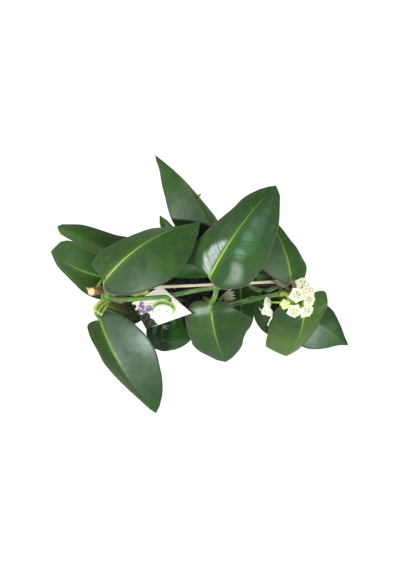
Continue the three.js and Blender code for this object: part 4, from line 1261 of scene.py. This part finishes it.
def petalFinish():
    start = startFinish("petalCream")
    reach, lobe = start.stored("reach"), start.stored("lobe")
    cloud = start.cloud(220, 3)
    fine = start.cloud(1100, 2)
    notch = lobe.fall(0.05, 0.3) * reach.rise(0.5, 0.7) * reach.fall(0.8, 1)
    groove = lobe.fall(0.2, 0.5) * reach.rise(0.2, 0.3) * reach.fall(0.48, 0.6)
    colour = start.coats(
        start.mix(tint(254, 251, 214), tint(255, 254, 236), cloud.rise(0.35, 0.65)),
        (tint(240, 236, 166), reach.fall(0.1, 0.45) * 0.5), (tint(216, 220, 158), notch * 0.6),
        (tint(228, 190, 176), cloud.rise(0.5, 0.66) * reach.fall(0.5, 0.8) * 0.6),
        (tint(70, 38, 40), groove * start.cloud(130, 1).rise(0.4, 0.48)),
    )
    bump = start.bump(fine * 0.5 + cloud * 0.5, 0.0003, 0.6)
    # the petals glow a little, as painted light
    return start.finish(
        Base_Color=colour, Roughness=0.48 + (fine - 0.5) * 0.2, Normal=bump, Emission_Color=colour,
        Emission_Strength=0.03,
    )


def makeFloret(name, spot, finish):
    form = umbelForm
    rng = growth(name)
    curl = [rng.uniform(0.6, 1.3) for petal in range(5)]
    bm = bmesh.new()
    stored = addLayers(bm, "reach", "lobe")
    rings = form["rings"]
    spinProfile(bm, [(i / rings, 0) for i in range(rings, -1, -1)], form["turns"])
    for vert in bm.verts:
        share = vert.co.xy.length
        angle = math.atan2(vert.co.y, vert.co.x)
        lobe = abs(math.cos(2.5 * angle))
        petal = curl[round(angle / (2 * math.pi / 5)) % 5]
        outline = starEdge(angle, form["valley"]) * (1 + 0.05 * math.sin(3 * angle + curl[0] * 9))
        z = -form["reflex"] * petal * lobe * max(0, share - 0.45) ** 1.4 * 2.3
        z += 0.35 * hill(share - 0.95, 0.07) - 0.5 * lobe ** 6 * hill(share - 0.72, 0.14)
        crown = hill(max(0, share - 0.10 - 0.36 * lobe ** 2), 0.085)
        z += form["corona"] * crown * (0.35 + 0.65 * lobe ** 1.5) * (0.55 + 0.45 * min(1, share / 0.2))
        z -= 0.54 * hill(share, 0.1) + 0.8 * hill(lobe, 0.22) * hill(share - 0.4, 0.12)
        z += 0.25 * noise.noise(Vector((share * 4, angle * 1.3, 0)) + Vector(spot["at"]))
        vert[stored["reach"]] = share
        vert[stored["lobe"]] = lobe
        radius = form["radius"] * share * (1 + (outline - 1) * min(1, share * 1.6))
        vert.co = (radius * math.cos(angle), radius * math.sin(angle), z)
    thicken(bm, bm.faces[:], form["thickness"])
    bmesh.ops.transform(bm, matrix=facing(spot), verts=bm.verts)
    keepPiece(name.replace("floret", "hoyaFloret"), bm, [finish], "petal", name, sharpAngle=70)


def budFinish():
    start = startFinish("budGreen")
    lobe, reach = start.stored("lobe"), start.stored("reach")
    cloud = start.cloud(260, 3)
    colour = start.mix(tint(236, 246, 172), tint(216, 232, 144), cloud.rise(0.35, 0.65))
    colour = start.mix(colour, tint(170, 190, 96), lobe.fall(0.02, 0.16) * reach.rise(0.1, 0.3) * 0.8)
    colour = start.mix(colour, tint(238, 242, 196), lobe.rise(0.9, 0.99) * reach.rise(0.3, 0.8) * 0.6)
    bump = start.bump(cloud, 0.0003, 0.5)
    return start.finish(Base_Color=colour, Roughness=0.5 + (cloud - 0.5) * 0.1, Normal=bump)


def makeBud():
    form = budForm
    bm = bmesh.new()
    stored = addLayers(bm, "reach", "lobe")
    bmesh.ops.create_uvsphere(bm, u_segments=60, v_segments=30, radius=1)
    for vert in bm.verts:
        share = vert.co.xy.length
        angle = math.atan2(vert.co.y, vert.co.x)
        lobe = abs(math.cos(2.5 * angle))
        outline = starEdge(angle, form["valley"])
        crease = 0.10 * hill(lobe, 0.14) * min(1, share * 3) * (1 - share ** 4)
        z = vert.co.z * form["height"] * (1 - crease * 1.4) * (0.9 + 0.1 * lobe)
        vert[stored["reach"]] = share
        vert[stored["lobe"]] = lobe
        radius = form["radius"] * share * (1 + (outline - 1) * min(1, share * 1.3))
        vert.co = (radius * math.cos(angle), radius * math.sin(angle), z)
    bmesh.ops.transform(bm, matrix=facing(form), verts=bm.verts)
    keepPiece("hoyaBud", bm, [budFinish()], "bud", "flower_bud", sharpAngle=70)


def stalkFinish():
    start = startFinish("stalkGreen")
    cloud = start.cloud(150, 3)
    streak = start.cloud(40, 4)
    colour = start.mix(tint(188, 204, 70), tint(152, 180, 60), cloud.rise(0.4, 0.62))
    colour = start.mix(colour, tint(120, 112, 56), streak.rise(0.56, 0.72) * 0.6)
    bump = start.bump(cloud, 0.0003, 0.6)
    return start.finish(Base_Color=colour, Roughness=0.5 + (cloud - 0.5) * 0.15, Normal=bump)


witheredForm = {
    "at": (64.7, -19.5, 272), "bulb": (3.5, 5.6, 3.3),
    "petals": (
        {"root": (0, -5, 0), "end": (-4.5, -12, -3), "width": 2.6, "droop": 1.0, "seed": 1},
        {"root": (0.6, -6, 0.4), "end": (2.5, -13.5, -3), "width": 3.2, "droop": 1.2, "seed": 5},
        {"root": (1.5, -6, -1), "end": (5, -12, -4), "width": 2.2, "droop": 0.6, "seed": 9},
    ),
    "curl": ((-1, -5, 0), (-3, -8, 0.4), (-5.6, -7.6, 0.6), (-7.2, -5.4, 0.2)),
    "thread": ((3, -11, -2), (4.6, -13.6, -4), (2.6, -18, -7), (1.2, -22, -9)),
}


def makeUmbelStalk():
    form = umbelForm
    hub, joint = Vector(form["hub"]), Vector(stemNodes["c"])
    bm = bmesh.new()
    out = (hub - joint).normalized()
    route = smoothRoute([joint + out * 1.6, joint.lerp(hub, 0.4) + Vector((0.6, 2.2, 2)), hub + out * 0.8], 0.8)
    thick = form["stalk"]
    sweepTube(bm, route, lambda spot, share: thick * (1 + 0.22 * (1 - share) ** 4 + 0.35 * share ** 6), 14)
    ends = []
    for spot in [*floretSpots.values(), budForm]:
        face = Vector(spot["face"]).normalized()
        back = 1.6 if spot is budForm else 0.6
        end = Vector(spot["at"]) - face * back
        ends.append([hub + (end - hub).normalized() * 0.8, end - face * 4.4, end])
    withered = Vector(witheredForm["at"])
    ends.append([hub + Vector((-1, 0, 0)), (78, -19.7, 275), withered + Vector((3.1, -0.4, 0.3))])
    for points in ends:
        route = smoothRoute(points, 0.8)
        sweepTube(bm, route, lambda spot, share: form["pedicel"] * (1.15 - 0.3 * share + 0.35 * share ** 8), 10)
    for i in range(form["bracts"]):
        angle = 2 * math.pi * i / form["bracts"]
        lift = Vector((math.cos(angle) * form["bractReach"], math.sin(angle) * form["bractReach"], 0.6))
        route = [hub, hub + lift * 0.6, hub + lift + Vector((0, 0, -0.5))]
        sweepTube(bm, route, lambda spot, share: 1.3 - 0.9 * share, 8)
    keepPiece("umbelStalk", bm, [stalkFinish()], "flower_stalk", "umbel_stalk", sharpAngle=60)


def witheredFinish():
    start = startFinish("witheredPetal")
    cloud = start.cloud(170, 4)
    crumple = start.cloud(420, 3)
    colour = start.mix(tint(255, 252, 232), tint(214, 214, 196), cloud.rise(0.4, 0.62))
    colour = start.mix(colour, tint(150, 132, 116), crumple.rise(0.62, 0.74) * 0.55)
    bump = start.bump(crumple, 0.0008, 0.8)
    return start.finish(Base_Color=colour, Roughness=0.6 + (cloud - 0.5) * 0.2, Normal=bump)


def limpPetal(bm, root, end, width, droop, seed):
    # a crumpled strip hanging from the root, rolled in at its sides
    across = (end - root).cross(Vector((0, 0, 1))).normalized()
    sheet = newSheet(bm, 18, 10)
    for vert, u, v in sheet:
        spread = width * (0.35 + 0.65 * math.sin(math.pi * (0.12 + 0.76 * u))) * (1 - 3 * max(0, u - 0.8))
        spot = root.lerp(end, u) + across * v * spread
        spot.z += droop * math.sin(math.pi * u) + 1.1 * v * v - 0.4
        vert.co = spot + noise.noise_vector(spot * 0.35 + Vector((seed, 0, 0))) * 0.9
    thicken(bm, facesOf(vert for vert, u, v in sheet), 0.5)


def makeWithered():
    at = Vector(witheredForm["at"])
    bm = bmesh.new()
    bulb = bmesh.ops.create_uvsphere(bm, u_segments=32, v_segments=20, radius=1)["verts"]
    half = witheredForm["bulb"]
    for vert in bulb:
        x, y, z = vert.co
        pinch = 1 - 0.16 * max(0, -y) ** 2
        spot = Vector((x * half[0] * pinch + 0.5 * (1 - y * y), y * half[1] - 1.2, z * half[2] * pinch))
        vert.co = at + spot + noise.noise_vector(spot * 0.3) * 0.5
    for petal in witheredForm["petals"]:
        root, end = at + Vector(petal["root"]), at + Vector(petal["end"])
        limpPetal(bm, root, end, petal["width"], petal["droop"], petal["seed"])
    curl = smoothRoute([at + Vector(point) for point in witheredForm["curl"]], 0.6)
    sweepTube(bm, curl, lambda spot, share: 0.75 - 0.45 * share, 8)
    thread = smoothRoute([at + Vector(point) for point in witheredForm["thread"]], 0.7)
    sweepTube(bm, thread, lambda spot, share: 0.85 - 0.2 * share, 8)
    keepPiece("witheredFloret", bm, [witheredFinish()], "withered", "withered_floret", sharpAngle=60)


driedForm = {
    "root": (19, -17.5, 248), "spread": 18, "teeth": 4, "aim": 17, "halfAngle": 22, "thickness": 0.7,
    "stalk": ((25.6, -22, 236), (22.5, -19.5, 242), (20.5, -17.2, 247)),
}


def driedFinish():
    start = startFinish("driedFan")
    reach, fan = start.stored("reach"), start.stored("fan")
    cloud = start.cloud(120, 4)
    ribs = start.math("SINE", fan * 34 + cloud * 3)
    colour = start.coats(
        start.mix(tint(128, 112, 66), tint(196, 182, 158), reach.rise(0.15, 0.6)),
        (tint(240, 232, 214), reach.rise(0.6, 0.95) * 0.8), (tint(92, 76, 60), ribs.rise(0.2, 1) * 0.5),
        (tint(70, 58, 44), cloud.rise(0.56, 0.72) * 0.5),
    )
    bump = start.bump(ribs * 0.5 + cloud, 0.0006, 0.7)
    return start.finish(Base_Color=colour, Roughness=0.82 + (cloud - 0.5) * 0.2, Normal=bump)


def makeDried():
    form = driedForm
    x, y, z = form["root"]
    bm = bmesh.new()
    stored = addLayers(bm, "reach", "fan")
    for vert, u, v in newSheet(bm, 26, 60):
        saw = (v * form["teeth"] / 2 + 0.5) % 1
        reach = form["spread"] * (0.06 + 0.94 * u * (1 - 0.24 * saw * u ** 2))
        angle = math.radians(form["aim"] + form["halfAngle"] * v)
        lift = 3 * u * (1 - v * v) - 3 * u + 0.5 * u * math.sin(9 * v) + 1.6 * u ** 3 * (1 - saw)
        vert.co = (x + reach * math.cos(angle), y + reach * math.sin(angle), z + lift)
        vert[stored["reach"]] = u
        vert[stored["fan"]] = v
    bmesh.ops.remove_doubles(bm, verts=bm.verts, dist=0.01)
    thicken(bm, bm.faces[:], form["thickness"])
    route = smoothRoute([*form["stalk"], (x + 0.8, y + 0.2, z - 0.2)], 1.2)
    stalk = sweepTube(bm, route, lambda spot, share: 0.8 + 0.3 * share, 8)
    for vert in stalk:
        vert[stored["reach"]] = 0
    keepPiece("driedFan", bm, [driedFinish()], "dried", "dried_flower", sharpAngle=50)


def makeFlowers():
    petal = petalFinish()
    for name, spot in floretSpots.items():
        makeFloret(name, spot, petal)
    makeBud()
    makeUmbelStalk()
    makeWithered()
    makeDried()
    print("flowers:", len(floretSpots), "open, one bud, one withered, one dried")


# small green and dry bits round the joints

# each with its thickness at the start, the middle and the end, and how knotty it is
sprigs = {
    "petioleStrandOuter": {
        "finish": "fresh", "radii": (1.5, 1.5, 2.2), "knots": 0.1,
        "route": [(-80.6, -16.5, 284), (-86.5, -18.5, 286), (-91.8, -23.5, 284.5), (-93.6, -28.8, 281.5)],
    },
    "petioleStrandMiddle": {
        "finish": "fresh", "radii": (1.4, 1.2, 1.5), "knots": 0.1,
        "route": [(-80, -18, 283), (-85.5, -22, 284.5), (-89.5, -26.5, 282.5), (-91.5, -30, 280)],
    },
    "petioleStrandInner": {
        "finish": "fresh", "radii": (1.4, 1.1, 1.3), "knots": 0.1,
        "route": [(-79.5, -18.5, 282), (-82.5, -23.5, 283), (-85.5, -28, 281.5), (-88, -32, 279)],
    },
    # a dark strip along the top of the left stem: partly the stem's reddish-brown edge, partly painted shade in
    # the gap under the leaf edge
    "stemEdgeShadeStrip": {
        "finish": "dark", "radii": (1.2, 1.0, 0.8), "knots": 0.4,
        "route": [(-78, -13.4, 283), (-70, -13.9, 284), (-60, -14.3, 283.6), (-46, -13, 283)],
    },
    "dryTwigLeft": {
        "finish": "dry", "radii": (1.0, 1.4, 0.8), "knots": 0.9,
        "route": [(-79, -17.4, 283), (-72, -19.2, 282.5), (-69, -19.4, 283), (-65.5, -20.2, 282)],
    },
    "dryTwigAtRung": {
        "finish": "dry", "radii": (1.3, 1.2, 0.9), "knots": 0.3,
        "route": [(85, -8.5, 264), (82.9, -6.3, 268), (76, -3.2, 266.5), (71.2, -0.4, 259), (70, -0.6, 250)],
    },
    "dryTwigFork": {
        "finish": "dry", "radii": (0.7, 0.8, 0.4), "knots": 0.3,
        "route": [(79.5, -5, 267.6), (77, -2.4, 268), (74.5, -0.2, 267)],
    },
    "dryStubAtPetiole": {
        "finish": "dry", "radii": (1.8, 2.4, 2.0), "knots": 1.2,
        "route": [(87.3, 1.5, 269.5), (89.3, -1.8, 272), (90.6, -4.2, 272.5), (91.2, -7.2, 270)],
    },
    "dryNubOnBackLeaf": {
        "finish": "dry", "radii": (0.7, 1.0, 0.8), "knots": 0.5,
        "route": [(0.5, 78.2, 256.5), (2.2, 79.4, 259), (3.6, 80.2, 261.5)],
    },
    "stemTipHook": {
        "finish": "dry", "radii": (1.5, 1.1, 0.7), "knots": 0.2,
        "route": [(-25, -17, 281.5), (-23.9, -18.2, 280.6), (-24.4, -19.6, 279.6)],
    },
    "caneSplinter": {
        "finish": "pale", "radii": (1.5, 1.2, 0.5), "knots": 0.3,
        "route": [(-97.4, -8.4, 283), (-99, -7.4, 286), (-100.4, -6.6, 288)],
    },
}
scales = {
    "bractGreen": {
        "finish": "fresh", "from": (-61, -12.8, 284.6), "to": (-44, -9.8, 285.6), "half": 2.9, "arch": 1.6,
    },
    "bractBrown": {
        "finish": "dry", "from": (-82, -12.2, 285.5), "to": (-72, -13.4, 286), "half": 2.0, "arch": 1.2,
    },
    "driedLeafRemnant": {
        "finish": "remnant", "from": (55.5, 6, 243), "to": (73.2, 3.2, 244), "half": 6.2, "arch": 1.5,
    },
}
sprigTones = {
    "fresh": (tint(158, 176, 66), tint(84, 112, 40), tint(222, 228, 124)),
    "dry": (tint(168, 146, 120), tint(104, 84, 66), tint(70, 54, 42)),
    "dark": (tint(104, 76, 56), tint(58, 44, 30), tint(44, 34, 26)),
    "pale": (tint(252, 230, 190), tint(222, 190, 146), tint(190, 152, 110)),
    "remnant": (tint(84, 114, 52), tint(62, 56, 32), tint(134, 84, 56)),
}


def sprigFinish(kind):
    start = startFinish(kind + "Sprig")
    light, dark, last = sprigTones[kind]
    cloud, fine = start.cloud(110, 3), start.cloud(500, 3)
    colour = start.mix(light, dark, cloud.rise(0.36, 0.64))
    colour = start.mix(colour, last, start.stored("reach").rise(0.7, 0.95) * 0.9)
    colour = start.mix(colour, dark, fine.rise(0.56, 0.7) * 0.5)
    bump = start.bump(cloud * 0.4 + fine * 0.6, 0.0005, 0.7)
    return start.finish(Base_Color=colour, Roughness=0.56 + (cloud - 0.5) * 0.2, Normal=bump)


def makeSprigs():
    finishes = {kind: sprigFinish(kind) for kind in sprigTones}
    slots = {"fresh": "flower_stalk", "pale": "cane", "dry": "dried", "dark": "dried", "remnant": "dried"}
    for name, form in sprigs.items():
        bm = bmesh.new()
        reach = bm.verts.layers.float.new("reach")
        route = smoothRoute(form["route"], 0.7)

        def radiusAt(spot, share):
            grown = blendAlong(form["radii"], share) * (1 - 10 * max(0, share - 0.94))
            return grown * (1 + form["knots"] * 0.5 * noise.noise(spot * 0.9))

        sweepTube(bm, route, radiusAt, 12)
        steps = len(route) - 1
        for vert in bm.verts:
            near = min(range(steps + 1), key=lambda i: (vert.co - route[i]).length_squared)
            vert[reach] = near / steps
        keepPiece(name, bm, [finishes[form["finish"]]], slots[form["finish"]], sharpAngle=60)
    for name, form in scales.items():
        bm = bmesh.new()
        reach = bm.verts.layers.float.new("reach")
        first, last = Vector(form["from"]), Vector(form["to"])
        across = (last - first).cross(Vector((0, 0, 1))).normalized()
        for vert, u, v in newSheet(bm, 26, 12):
            spread = form["half"] * math.sin(math.pi * (0.06 + 0.9 * u)) ** 0.6 * (1 + 0.15 * math.sin(9 * u))
            spot = first.lerp(last, u) - across * v * spread
            spot.z += form["arch"] * (math.sin(math.pi * u) - v * v * 0.9)
            vert.co = spot + noise.noise_vector(spot * 0.3) * 0.5
            vert[reach] = u
        thicken(bm, bm.faces[:], 0.45)
        keepPiece(name, bm, [finishes[form["finish"]]], slots[form["finish"]], sharpAngle=50)
    print("small bits:", len(sprigs) + len(scales))


# floor

floorForm = {
    "reach": 6000, "greys": ((0.34, 0.34, 0.34, 1), (0.37, 0.37, 0.37, 1)),
    "glows": ((0.97, 0.98, 0.98, 1), (0.99, 1, 1, 1)), "glowStrength": 0.84,
}


def makeFloor():
    start = startFinish("paleFloor")
    cloud = start.cloud(3, 2)
    colour, glow = start.mix(*floorForm["greys"], cloud), start.mix(*floorForm["glows"], cloud)
    strength = floorForm["glowStrength"]
    finish = start.finish(Base_Color=colour, Roughness=0.9, Emission_Color=glow, Emission_Strength=strength)
    bm = bmesh.new()
    newSheet(bm, 4, 4, floorForm["reach"])
    addShape("paleFloor", bm, finish)


setStudio()
makeFloor()
makePot()
makeMix()
makeCanes()
makeRungs()
makeStems()
makeLeaves()
makeCard()
makeFlowers()
makeSprigs()
